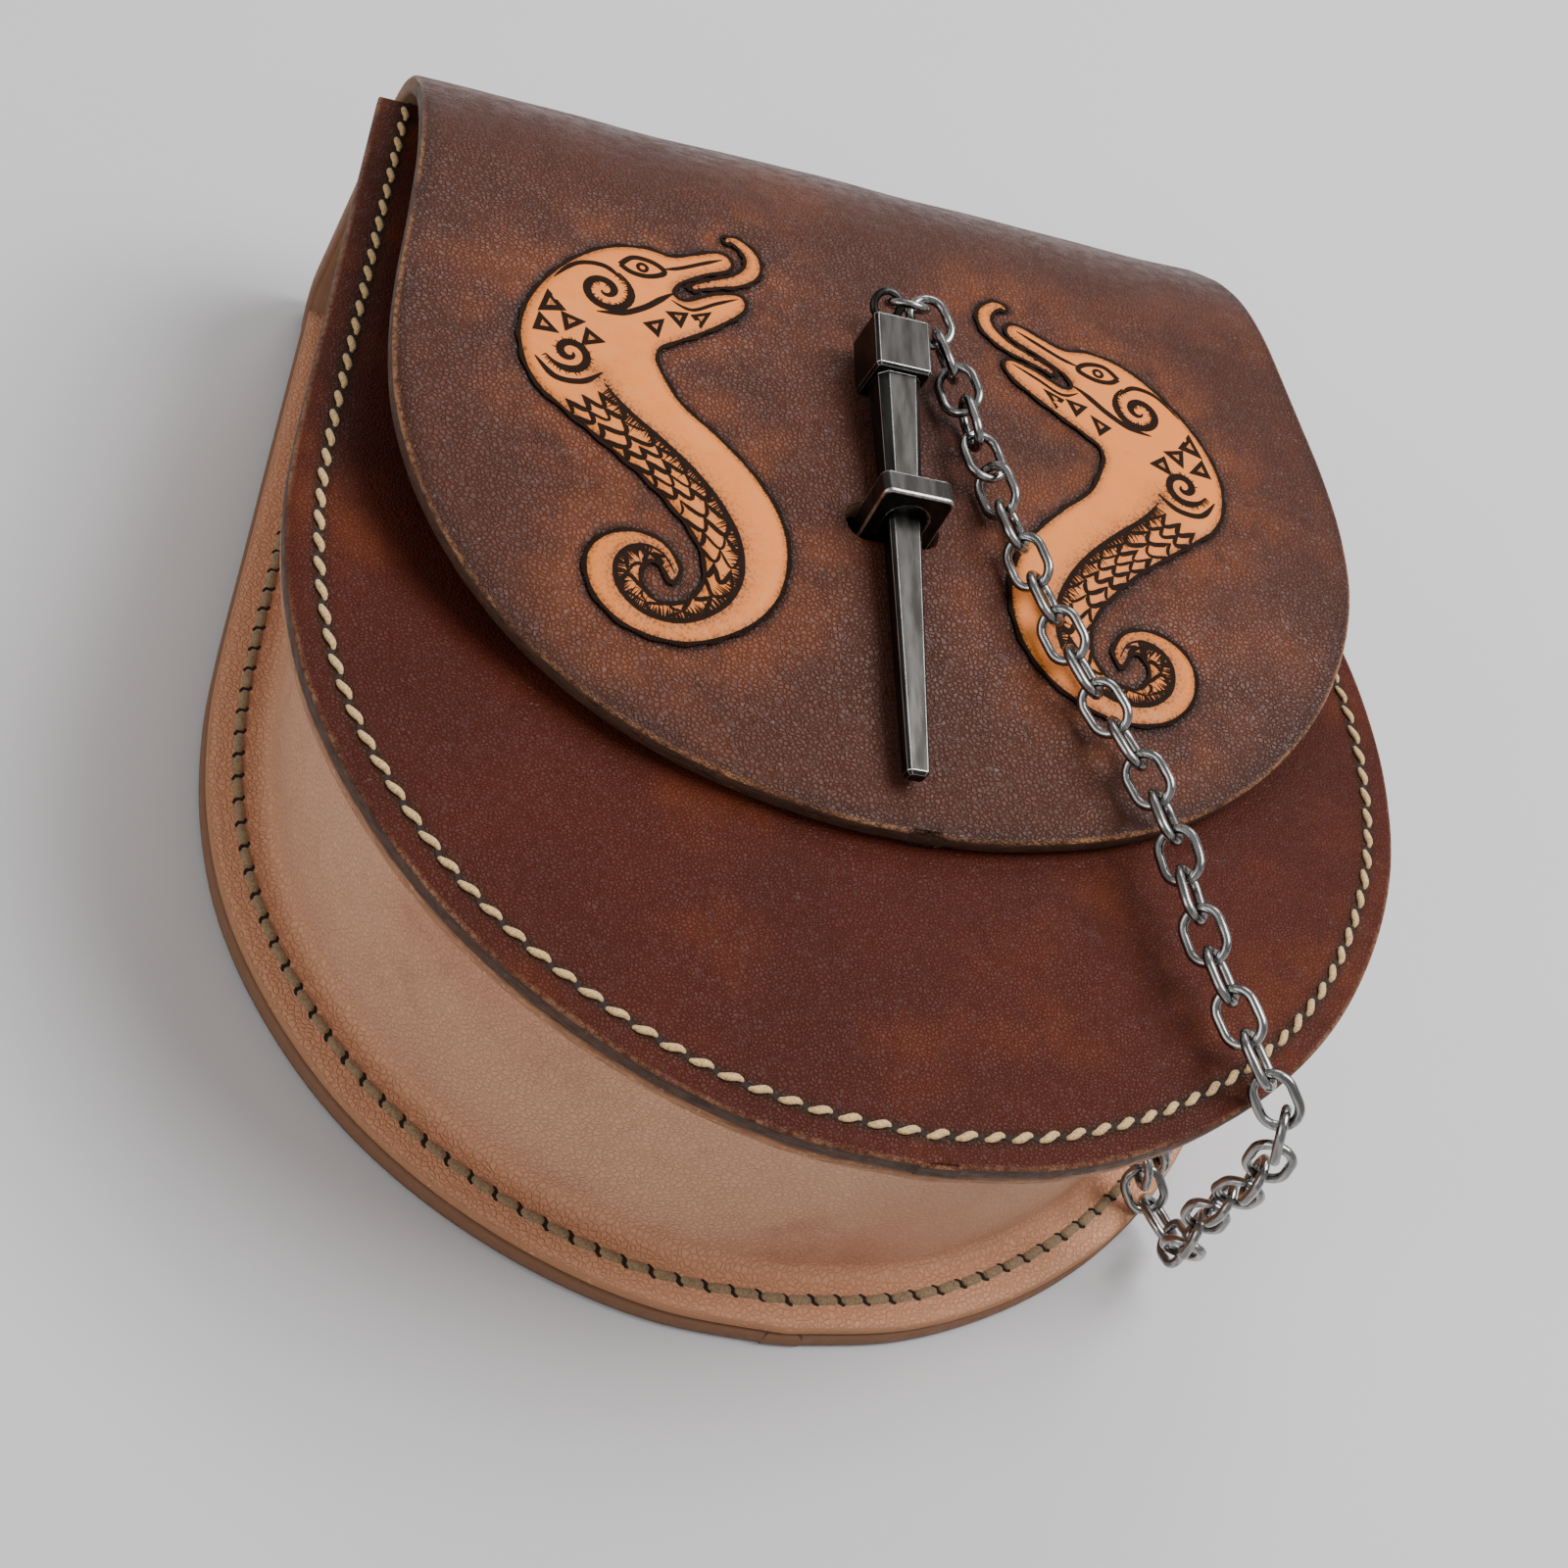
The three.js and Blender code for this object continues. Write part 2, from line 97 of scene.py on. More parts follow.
SLOT = dict(x=0, y=3.6, width=15, height=6.4, bottom=60.6, top=78)
KEEPER = dict(
    y=3.2, width=11.4, depth=4.2, top=79.2, foot=58.6, hole=6.4, floor=61.4, arch=73.2, corner=1.3,
    middle=68.5, bevel=0.5,
)
PIN_BEVEL = 0.26
PIN = dict(x=0, tip_y=-40.1, tip_z=65.75, tilt=math.atan(0.1486))
PIN_SECTIONS = [
    (0, 1.25, 0.95, 0.35), (0.6, 1.75, 1.4, 0.45), (47, 2.7, 1.9, 0.6), (47, 2.85, 2.5, 1.1),
    (67.4, 3.5, 3.2, 1.3), (67.4, 4.2, 4.1, 0.4), (67.9, 4.6, 4.5, 0.5), (76.9, 4.6, 4.5, 0.5),
    (77.4, 4.2, 4.1, 0.4),
]
EYE = dict(centre=(0.2, 42.6, 76.8), radius=2.2, wire=0.65, axis=(0, 0.67, -0.74))
EYE_POST = [(-5.2, 0.9), (-2.6, 0.9), (0, 0.9), (0.2, 0.7)]     # how far along y, and its radius there
EDGE_ON = (0, 0.74, 0.67)
PIN_RING = dict(centre=(3.5, 43, 77.2), radius=3.1, wire=0.65, axis=EDGE_ON)
LINK = dict(length=8.2, width=5.7, wire=0.74, weld_length=0.8, weld_swell=0.06)

STITCH_PITCH = 4.2
FRONT_SEAM_INSET = 4.65
BACK_SEAM_INSET = 5.1
FRONT_STITCH = dict(length=3.85, slant=math.radians(25), width=1.2, height=0.30, sharpness=2.2)
FRONT_HOLE = dict(length=2.9, width=0.85, turn=math.radians(-30))
BACK_STITCH = dict(length=3.8, slant=math.radians(7), width=1.6, height=0.06, sharpness=5.0)
BACK_HOLE = dict(length=2.5, width=1.15, turn=math.radians(-50))

# ---------------------------------------------------------------- the tooled serpents

MIRROR_X = 1.0        # the two figures face each other across this line
# Both sides of the body from the neck to the coiled tail, matched point by point.
SERPENT_BACK = [
    (-36.8, 25.6), (-33.4, 18.6), (-27.7, 13.4), (-22.1, 7.6), (-18.2, 1.4), (-17, -5.2), (-18.8, -12.6),
    (-24.2, -18.6), (-32.8, -22.4), (-41.4, -21.6), (-46.8, -17.2), (-47.9, -11.6), (-45.2, -7.6),
    (-40.4, -6), (-36, -7.4), (-33.8, -11),
]
SERPENT_BELLY = [
    (-54.6, 15.2), (-49.6, 11.4), (-44.4, 7.6), (-39.5, 3.8), (-35.2, -0.4), (-31.6, -4.8), (-30, -9.4),
    (-30.8, -13.6), (-33.8, -16.4), (-37, -16.8), (-39.4, -15.2), (-40, -12.8), (-39.4, -11),
    (-38.2, -10.2), (-36.8, -10.8), (-35.8, -12.2),
]
SERPENT_TIP = (-34.9, -13.4)
BELLY_FROM = 0.56     # the scaled belly's share of the body's width starts here
SERPENT_SPACING = 0.7
SCALE_PITCH = 2.8
SCALE_WIDTH = 3.1
# The head, from the nape over the brow and snout, into the mouth and back along the jaw to the throat.
SERPENT_HEAD = [
    (-56.9, 19), (-57.9, 25.4), (-56.4, 32.2), (-52.8, 38.6), (-48, 44), (-42.8, 47.6), (-37.4, 48.9),
    (-33, 48.4), (-29, 50.2), (-25.2, 52), (-23.2, 51.2), (-23.4, 48.8), (-28, 46), (-32.2, 42.8),
    (-33.2, 40.4), (-31.2, 39.4), (-26.8, 42), (-22.6, 43.4), (-21.3, 41.8), (-22.6, 39), (-27.8, 34.4),
    (-32.8, 30.8), (-36, 28.4),
]
# The tongue's curl: x, y and half-width.
SERPENT_TONGUE = [
    (-30.4, 42.4, 0.5), (-26.4, 44.6, 0.8), (-22.4, 46.6, 1.1), (-19.6, 49.6, 1.3), (-19.4, 53, 1.2),
    (-21.6, 55.6, 0.9), (-23.8, 55.4, 0.5),
]


# ---------------------------------------------------------------- curves

def smooth(points, per=24):
    """A Catmull-Rom curve through the points, as an array."""
    p = np.asarray(points, float)
    padded = np.vstack([p[:1], p, p[-1:]])
    t = np.linspace(0, 1, per, endpoint=False)[:, None]
    out = []
    for a, b, c, d in zip(padded[:-3], padded[1:-2], padded[2:-1], padded[3:]):
        v0 = (c - a) / 2
        v1 = (d - b) / 2
        cubic = (2 * b - 2 * c + v0 + v1) * t ** 3
        square = (-3 * b + 3 * c - 2 * v0 - v1) * t ** 2
        out.append(cubic + square + v0 * t + b)
    out.append(p[-1:])
    return np.vstack(out)


def lengths(path):
    steps = np.linalg.norm(np.diff(path, axis=0), axis=1)
    return np.concatenate([[0], np.cumsum(steps)])


def resample(path, pitch=None, count=None):
    """Points evenly spaced along a path."""
    path = np.asarray(path, float)
    s = lengths(path)
    n = count or max(2, int(round(s[-1] / pitch)))
    at = np.linspace(0, s[-1], n + 1)
    return np.column_stack([np.interp(at, s, path[:, k]) for k in range(path.shape[1])])


def value_at(table, u):
    """A table's second column where its first is u, along a smooth curve."""
    curve = smooth(table)
    return np.interp(u, curve[:, 0], curve[:, 1])


def unit(vectors):
    return vectors / np.maximum(np.linalg.norm(vectors, axis=1, keepdims=True), 1e-9)


def tangents(path, closed=False):
    if closed:
        return unit(np.roll(path, -1, axis=0) - np.roll(path, 1, axis=0))
    return unit(np.gradient(np.asarray(path, float), axis=0))


def right_of(path):
    t = tangents(path)
    return np.column_stack([t[:, 1], -t[:, 0]])


def distance_to(points, path, closed=True):
    """How far each flat point is from a path."""
    points = np.asarray(points, float)
    a = np.asarray(path, float)
    b = np.roll(a, -1, axis=0) if closed else a[1:]
    a = a if closed else a[:-1]
    best = np.full(len(points), 1e9)
    for p, q in zip(a, b):
        d = q - p
        t = np.clip(((points - p) @ d) / max(d @ d, 1e-12), 0, 1)
        best = np.minimum(best, np.linalg.norm(points - p - t[:, None] * d, axis=1))
    return best


def inside(points, loop):
    x, y = np.asarray(points, float).T
    result = np.zeros(len(x), bool)
    loop = np.asarray(loop)
    for (x1, y1), (x2, y2) in zip(loop, np.roll(loop, -1, axis=0)):
        crosses = (y1 > y) != (y2 > y)
        if y1 != y2:
            result ^= crosses & (x < (x2 - x1) * (y - y1) / (y2 - y1) + x1)
    return result


# ---------------------------------------------------------------- meshes

def new_object(name, data):
    obj = bpy.data.objects.new(name, data)
    bpy.context.scene.collection.objects.link(obj)
    return obj


def mesh_object(name, points, faces, materials, indices=None, attributes=None, flat=False):
    mesh = bpy.data.meshes.new(name)
    mesh.from_pydata((np.asarray(points, float) * MM).tolist(), [], faces)
    for material in materials:
        mesh.materials.append(material)
    if indices is not None:
        mesh.polygons.foreach_set("material_index", np.asarray(indices, np.int32))
    for key, values in (attributes or {}).items():
        layer = mesh.attributes.new(key, "FLOAT", "POINT")
        layer.data.foreach_set("value", np.asarray(values, np.float32))
    mesh.validate()
    mesh.update()
    if not flat:
        mesh.polygons.foreach_set("use_smooth", np.ones(len(mesh.polygons), bool))
    return new_object(name, mesh)


def settle(obj, slot, *nodes):
    """Puts a finished piece on the body, in place of the CAD nodes it stands for. slot is not used."""
    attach(obj, BODY)
    if nodes:
        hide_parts(*nodes)
    return obj


def face_outward(obj):
    """Turns every face outward."""
    bm = bmesh.new()
    bm.from_mesh(obj.data)
    bmesh.ops.recalc_face_normals(bm, faces=bm.faces)
    bm.to_mesh(obj.data)
    bm.free()


def apply_modifiers(obj):
    depsgraph = bpy.context.evaluated_depsgraph_get()
    mesh = bpy.data.meshes.new_from_object(obj.evaluated_get(depsgraph))
    obj.modifiers.clear()
    obj.data = mesh
    return obj


def grid_faces(rows, cols, start=0, flip=False):
    faces = []
    for i in range(rows - 1):
        for j in range(cols - 1):
            a = start + i * cols + j
            quad = (a, a + 1, a + cols + 1, a + cols)
            faces.append(quad[::-1] if flip else quad)
    return faces


def ring_faces(count, sides, closed=False):
    """Quads between rings of points. Open ends get a cap each."""
    faces = []
    for i in range(count if closed else count - 1):
        ahead = ((i + 1) % count - i) * sides
        for j in range(sides):
            a, b = i * sides + j, i * sides + (j + 1) % sides
            faces.append((a, a + ahead, b + ahead, b))
    if not closed:
        last = count * sides - 1
        faces += [tuple(range(sides)), tuple(range(last, last - sides, -1))]
    return faces


def tube_mesh(path, radius, sides, closed, flatten=1.0):
    """Points and faces of a round tube along a path. radius may vary along it."""
    path = np.asarray(path, float)
    t = tangents(path, closed)
    side = unit(np.cross(t, (0, 0, 1)))
    lift = np.cross(side, t)
    radius = np.broadcast_to(radius, (len(path),))[:, None, None]
    angle = np.linspace(0, 2 * math.pi, sides, endpoint=False)[None, :, None]
    spokes = np.cos(angle) * side[:, None] + flatten * np.sin(angle) * lift[:, None]
    rings = path[:, None] + radius * spokes
    return rings.reshape(-1, 3), ring_faces(len(path), sides, closed)


class Parts:
    """Collects many small shapes into one mesh."""

    def __init__(self):
        self.points, self.faces, self.indices = [], [], []
        self.attributes = {}

    def add(self, points, faces, index=0, **attributes):
        start = sum(len(p) for p in self.points)
        self.points.append(np.asarray(points, float))
        self.faces += [tuple(k + start for k in face) for face in faces]
        self.indices += [index] * len(faces)
        for key, values in attributes.items():
            self.attributes.setdefault(key, []).append(np.broadcast_to(values, (len(points),)))

    def build(self, name, materials):
        points = np.vstack(self.points)
        attributes = {k: np.concatenate(v) for k, v in self.attributes.items()}
        return mesh_object(name, points, self.faces, materials, self.indices, attributes)


# ---------------------------------------------------------------- materials

class Finish:
    """A node material, with short calls for the nodes that it is built from."""

    def __init__(self, name, roughness=0.5, metallic=0.0, **sockets):
        self.material = bpy.data.materials.new(name)
        self.material.use_nodes = True
        self.tree = self.material.node_tree
        self.shader = self.tree.nodes["Principled BSDF"]
        self.shader.inputs["Roughness"].default_value = roughness
        self.shader.inputs["Metallic"].default_value = metallic
        for key, value in sockets.items():
            self.shader.inputs[key.replace("_", " ")].default_value = value
        self.coords = self.tree.nodes.new("ShaderNodeTexCoord").outputs["Object"]

    def node(self, kind, inputs, **settings):
        """A node with its sockets set or linked. inputs are keyed by name or number."""
        node = self.tree.nodes.new(kind)
        for key, value in settings.items():
            setattr(node, key, value)
        for key, value in inputs.items():
            self.put(node.inputs[key], value)
        return node

    def put(self, socket, value):
        if isinstance(value, bpy.types.NodeSocket):
            self.tree.links.new(value, socket)
        elif isinstance(value, tuple):
            socket.default_value = (*value, 1)
        elif value is not None:
            socket.default_value = value

    def stretched(self, scale):
        node = self.node("ShaderNodeMapping", {"Vector": self.coords})
        node.inputs["Scale"].default_value = scale
        return node.outputs["Vector"]

    def noise(self, size, detail, rough=0.55, coords=None):
        """Noise with features about size mm across."""
        inputs = {"Vector": coords or self.coords, "Scale": 1 / (size * MM), "Detail": detail}
        return self.node("ShaderNodeTexNoise", {**inputs, "Roughness": rough}).outputs["Fac"]

    def cells(self, size, coords=None, feature="DISTANCE_TO_EDGE"):
        inputs = {"Vector": coords or self.coords, "Scale": 1 / (size * MM)}
        return self.node("ShaderNodeTexVoronoi", inputs, feature=feature).outputs["Distance"]

    def value(self, key):
        return self.node("ShaderNodeAttribute", {}, attribute_name=key).outputs["Fac"]

    def math(self, operation, a, b=0.0):
        return self.node("ShaderNodeMath", {0: a, 1: b}, operation=operation).outputs[0]

    def fit(self, value, low, high, to_low=0.0, to_high=1.0):
        inputs = dict(enumerate((value, low, high, to_low, to_high)))
        node = self.node("ShaderNodeMapRange", inputs, interpolation_type="SMOOTHSTEP")
        return node.outputs["Result"]

    def mix(self, share, a, b):
        inputs = {"Factor": share, 6: a, 7: b}
        return self.node("ShaderNodeMix", inputs, data_type="RGBA").outputs[2]

    def bump(self, height, depth, normal=None):
        """Bump whose full range is depth mm."""
        inputs = {"Distance": depth * MM, "Height": height, "Normal": normal}
        return self.node("ShaderNodeBump", inputs).outputs["Normal"]

    def finish(self, color, rough=None, normal=None):
        for key, value in (("Base Color", color), ("Roughness", rough), ("Normal", normal)):
            self.put(self.shader.inputs[key], value)
        return self.material


def grain(f, cell, deep, dark, wrinkle=4.0):
    """Leather grain: pebbles between creases, over soft wrinkles.

    Returns the normal, and the creases as a share that goes up to dark.
    """
    warp = f.node("ShaderNodeTexNoise", {"Vector": f.coords, "Scale": 1 / (3 * MM)})
    small = f.node("ShaderNodeVectorMath", {0: warp.outputs["Color"], "Scale": 0.9 * MM}, operation="SCALE")
    warped = f.node("ShaderNodeVectorMath", {0: f.coords, 1: small.outputs[0]}, operation="ADD")
    crease = f.fit(f.cells(cell, warped.outputs[0]), 0.0, 0.22)
    soft = f.bump(f.noise(wrinkle, 4), deep * 1.5)
    fine = f.bump(f.noise(cell * 0.4, 2), deep * 0.3, soft)
    return f.bump(crease, deep, fine), f.math("MULTIPLY", f.math("SUBTRACT", 1.0, crease), dark)


def worn_arris(f):
    """The share of a thin worn line along a panel's top arris, broken here and there."""
    line = f.fit(f.value("inset"), 0.2, 0.95, 1.0, 0.0)
    broken = f.fit(f.noise(0.9, 5, 0.65), 0.36, 0.60, 0.15, 0.85)
    place = f.fit(f.noise(14, 2), 0.35, 0.6, 0.25, 1.0)
    return f.math("MULTIPLY", f.math("MULTIPLY", line, broken), place)


def flap_leather():
    f = Finish("brown_leather", 0.5, Specular_IOR_Level=0.2)
    normal, crease = grain(f, 0.75, 0.11, 0.38, 5.0)
    deep = f.mix(f.noise(30, 3), (0.052, 0.0145, 0.0075), (0.088, 0.0235, 0.0115))
    warm = f.mix(f.fit(f.noise(24, 3), 0.44, 0.80, 0.0, 0.7), deep, (0.160, 0.041, 0.013))
    near = f.fit(f.value("figure"), 1.5, 15.0, 0.65, 0.0)
    lit = f.math("MULTIPLY", near, f.fit(f.noise(9, 3), 0.35, 0.65))
    glow = f.mix(lit, warm, (0.200, 0.052, 0.015))
    black = f.mix(f.fit(f.value("figure"), 0.0, 2.2, 0.95, 0.0), glow, (0.004, 0.0025, 0.002))
    creased = f.mix(crease, black, (0.005, 0.0025, 0.002))
    rim_dark = f.mix(f.fit(f.value("inset"), 0.6, 4.0, 0.4, 0.0), creased, (0.014, 0.006, 0.004))
    color = f.mix(worn_arris(f), rim_dark, (0.36, 0.165, 0.075))
    rough = f.fit(f.noise(2.4, 5), 0.3, 0.75, 0.30, 0.50)
    return f.finish(color, rough, normal)


def front_leather():
    f = Finish("red_brown_leather", 0.46, Specular_IOR_Level=0.14)
    normal, crease = grain(f, 0.6, 0.09, 0.28)
    deep = f.mix(f.noise(30, 3), (0.046, 0.0074, 0.0034), (0.088, 0.0140, 0.0048))
    warm = f.mix(f.fit(f.noise(24, 4, 0.6), 0.46, 0.82, 0.0, 0.75), deep, (0.150, 0.030, 0.0060))
    seam = f.math("ABSOLUTE", f.math("SUBTRACT", f.value("inset"), FRONT_SEAM_INSET))
    halo = f.mix(f.fit(seam, 0.2, 2.0, 0.8, 0.0), warm, (0.026, 0.0115, 0.004))
    creased = f.mix(crease, halo, (0.008, 0.002, 0.0015))
    color = f.mix(worn_arris(f), creased, (0.24, 0.115, 0.060))
    rough = f.fit(f.noise(2.4, 5), 0.3, 0.75, 0.38, 0.58)
    return f.finish(color, rough, normal)


def tan_leather():
    f = Finish("natural_leather", 0.55, Specular_IOR_Level=0.35)
    normal, crease = grain(f, 0.9, 0.13, 0.18)
    base = f.mix(f.noise(34, 4), (0.68, 0.375, 0.235), (0.50, 0.250, 0.148))
    blush = f.mix(f.fit(f.noise(50, 3), 0.45, 0.7, 0.0, 0.8), base, (0.50, 0.215, 0.120))
    # Random darker patches over the wall: painted shade, standing for the soft shade of its dents.
    patchy_shade = f.mix(f.fit(f.noise(13, 6, 0.7), 0.52, 0.78, 0.0, 0.4), blush, (0.24, 0.11, 0.065))
    flange = f.mix(f.fit(f.value("flange"), 0.0, 1.0, 0.0, 0.8), patchy_shade, (0.64, 0.315, 0.170))
    near_edge = f.mix(f.fit(f.value("inset"), 0.0, 1.6, 0.45, 0.0), flange, (0.26, 0.11, 0.055))
    color = f.mix(crease, near_edge, (0.22, 0.10, 0.06))
    return f.finish(color, f.fit(f.noise(5, 4), 0.3, 0.7, 0.45, 0.66), normal)


def edge_leather(name, light, dark, raw):
    """A cut edge: burnished fibres that run along it, rawer at the fold and down on the back panel, and
    kept darker in its lowest 1.4 mm as painted shade where it meets the floor.
    """
    f = Finish(name, 0.6, Specular_IOR_Level=0.3)
    fibres = f.noise(0.7, 5, 0.7, f.stretched((0.22, 0.22, 2.6)))
    base = f.mix(f.fit(fibres, 0.32, 0.68), dark, light)
    place = f.node("ShaderNodeSeparateXYZ", {0: f.coords})
    # Painted shade: the back panel's edge stays darker within 1.4 mm of the floor.
    under = f.fit(place.outputs["Z"], 0.4 * MM, 1.4 * MM, 0.35, 1.0)
    low = f.math("MULTIPLY", under, f.fit(place.outputs["Z"], 4 * MM, 30 * MM, 0.85, 0.0))
    fold = f.fit(place.outputs["Y"], 84 * MM, 95 * MM, 0.0, 0.9)
    rawer = f.mix(f.math("MAXIMUM", low, fold), base, raw)
    fleck = f.fit(f.noise(0.6, 4, 0.7), 0.55, 0.7, 0.0, 0.6)
    flecks = f.math("MULTIPLY", fleck, f.fit(f.noise(5, 2), 0.4, 0.6))
    color = f.mix(flecks, rawer, tuple(min(1.0, 2.4 * c) for c in light))
    normal = f.bump(fibres, 0.16, f.bump(f.noise(0.5, 3), 0.06))
    return f.finish(color, f.fit(f.noise(2, 3), 0.3, 0.7, 0.5, 0.75), normal)


def tooled_leather():
    f = Finish("tooled_tan", 0.5, Specular_IOR_Level=0.22)
    base = f.mix(f.noise(9, 4), (0.82, 0.250, 0.040), (0.70, 0.190, 0.030))
    stain = f.mix(f.fit(f.noise(2.4, 6, 0.7), 0.56, 0.8, 0.0, 0.5), base, (0.36, 0.13, 0.04))
    stipple = f.fit(f.cells(0.55, feature="F1"), 0.25, 0.6, 1.25, 0.55)
    shade = f.math("MULTIPLY", f.value("shade"), stipple)
    color = f.mix(shade, stain, (0.016, 0.006, 0.003))
    normal = f.bump(f.cells(0.6), 0.05, f.bump(f.noise(0.3, 3), 0.03))
    return f.finish(color, f.fit(f.noise(2, 4), 0.3, 0.7, 0.40, 0.62), normal)


def two_tone(name, rough, patches, light, dark, pits=None, deep=0.0, **sockets):
    """A matt finish of two colours over fine pits. patches and pits are a size and a detail each."""
    f = Finish(name, rough, **sockets)
    normal = f.bump(f.noise(*pits), deep) if pits else None
    return f.finish(f.mix(f.noise(*patches), light, dark), None, normal)


def thread(name, light, dark):
    f = Finish(name, 0.75, Sheen_Weight=0.3, Sheen_Roughness=0.5)
    strands = f.noise(0.32, 4, 0.6)
    color = f.mix(f.fit(strands, 0.3, 0.62), dark, light)
    return f.finish(color, None, f.bump(strands, 0.12))


def steel(name, light, dark, rough, patina):
    """Smooth wear over a darker patina in patches of that size, with fine scratches."""
    f = Finish(name, rough, 1.0)
    along = f.stretched((3.0, 0.3, 3.0))
    scratches = f.noise(0.4, 3, 0.6, along)
    worn = f.fit(f.noise(patina, 4, 0.5, along), 0.3, 0.7)
    color = f.mix(worn, dark, light)
    roughness = f.fit(f.noise(3.0, 3, 0.5, along), 0.25, 0.75, rough * 0.85, rough * 1.25)
    return f.finish(color, roughness, f.bump(scratches, 0.006, f.bump(f.noise(3.0, 2), 0.012)))


FLAP = flap_leather()
FRONT = front_leather()
TAN = tan_leather()
BROWN_EDGE = edge_leather(
    "brown_edge", light=(0.092, 0.042, 0.023), dark=(0.028, 0.0125, 0.007), raw=(0.22, 0.105, 0.056))
TAN_EDGE = edge_leather(
    "tan_edge", light=(0.42, 0.195, 0.095), dark=(0.20, 0.090, 0.046), raw=(0.40, 0.185, 0.090))
FLESH = two_tone("flesh_side", 0.85, (6, 5), (0.34, 0.19, 0.11), (0.22, 0.11, 0.06), (0.4, 4), 0.12)
TOOLED = tooled_leather()
INK = two_tone("tooled_line", 0.75, (1.4, 4), (0.006, 0.0035, 0.0025), (0.026, 0.010, 0.005),
               (0.35, 3), 0.05, Specular_IOR_Level=0.08)
CREAM_THREAD = thread("cream_thread", (0.68, 0.44, 0.19), (0.33, 0.20, 0.075))
OLIVE_THREAD = thread("olive_thread", (0.30, 0.205, 0.10), (0.14, 0.092, 0.044))
# The stitch holes' dark colour is painted shade.
HOLE_SHADE = two_tone("stitch_hole_shade", 0.9, (0.6, 3), (0.006, 0.004, 0.003), (0.022, 0.012, 0.007))
DARK_STEEL = steel("dark_steel", (0.058, 0.0555, 0.052), (0.0245, 0.0226, 0.0206), 0.35, 5.0)
# Bright steel for the bevels: wear, and a painted highlight along the edges.
WORN_EDGE_HIGHLIGHT = steel("worn_steel_edge_highlight", (0.56, 0.545, 0.52), (0.36, 0.345, 0.33), 0.28, 3.0)
CHAIN_STEEL = steel("chain_steel", (0.40, 0.395, 0.385), (0.17, 0.166, 0.16), 0.18, 2.0)
FLOOR = two_tone("floor", 0.85, (90, 3), (0.60, 0.60, 0.605), (0.64, 0.64, 0.645), Specular_IOR_Level=0.2)


# ---------------------------------------------------------------- leather panels

def ripple(x, y):
    """The slow unevenness of a leather face, in mm."""
    return (0.16 * np.sin(x / 13.0 + 0.8) * np.cos(y / 17.0) + 0.10 * np.sin(x / 7.0 - y / 9.0)
            + 0.05 * np.sin(x / 3.7 + y / 4.9))


class Profile:
    """A line through y and z along which a sheet runs, straight across in x."""

    def __init__(self, line):
        self.line = np.asarray(line, float)
        self.v = lengths(self.line)
        t = tangents(self.line)
        self.out = np.column_stack([-t[:, 1], t[:, 0]])

    def v_at(self, y):
        top = int(np.argmax(self.line[:, 0] >= self.line[:, 0].max() - 1e-6)) + 1
        return np.interp(y, self.line[:top, 0], self.v[:top])

    def place(self, x, v, lift):
        y, z, ny, nz = (np.interp(v, self.v, column) for column in (*self.line.T, *self.out.T))
        return np.column_stack([x, y + ny * lift, z + nz * lift])

    def on(self, x, y, lift):
        """A point over x, y on the part of the sheet that faces up."""
        x = np.asarray(x, float)
        return self.place(x, self.v_at(y), np.asarray(lift) + ripple(x, np.asarray(y, float)))


def corner_normals(loop):
    """Outward offsets of a closed loop that runs anticlockwise, longer at its corners."""
    before = right_of_step(loop - np.roll(loop, 1, axis=0))
    after = right_of_step(np.roll(loop, -1, axis=0) - loop)
    both = unit(before + after)
    return both / np.maximum((both * before).sum(1, keepdims=True), 0.5)


def right_of_step(steps):
    return unit(np.column_stack([steps[:, 1], -steps[:, 0]]))


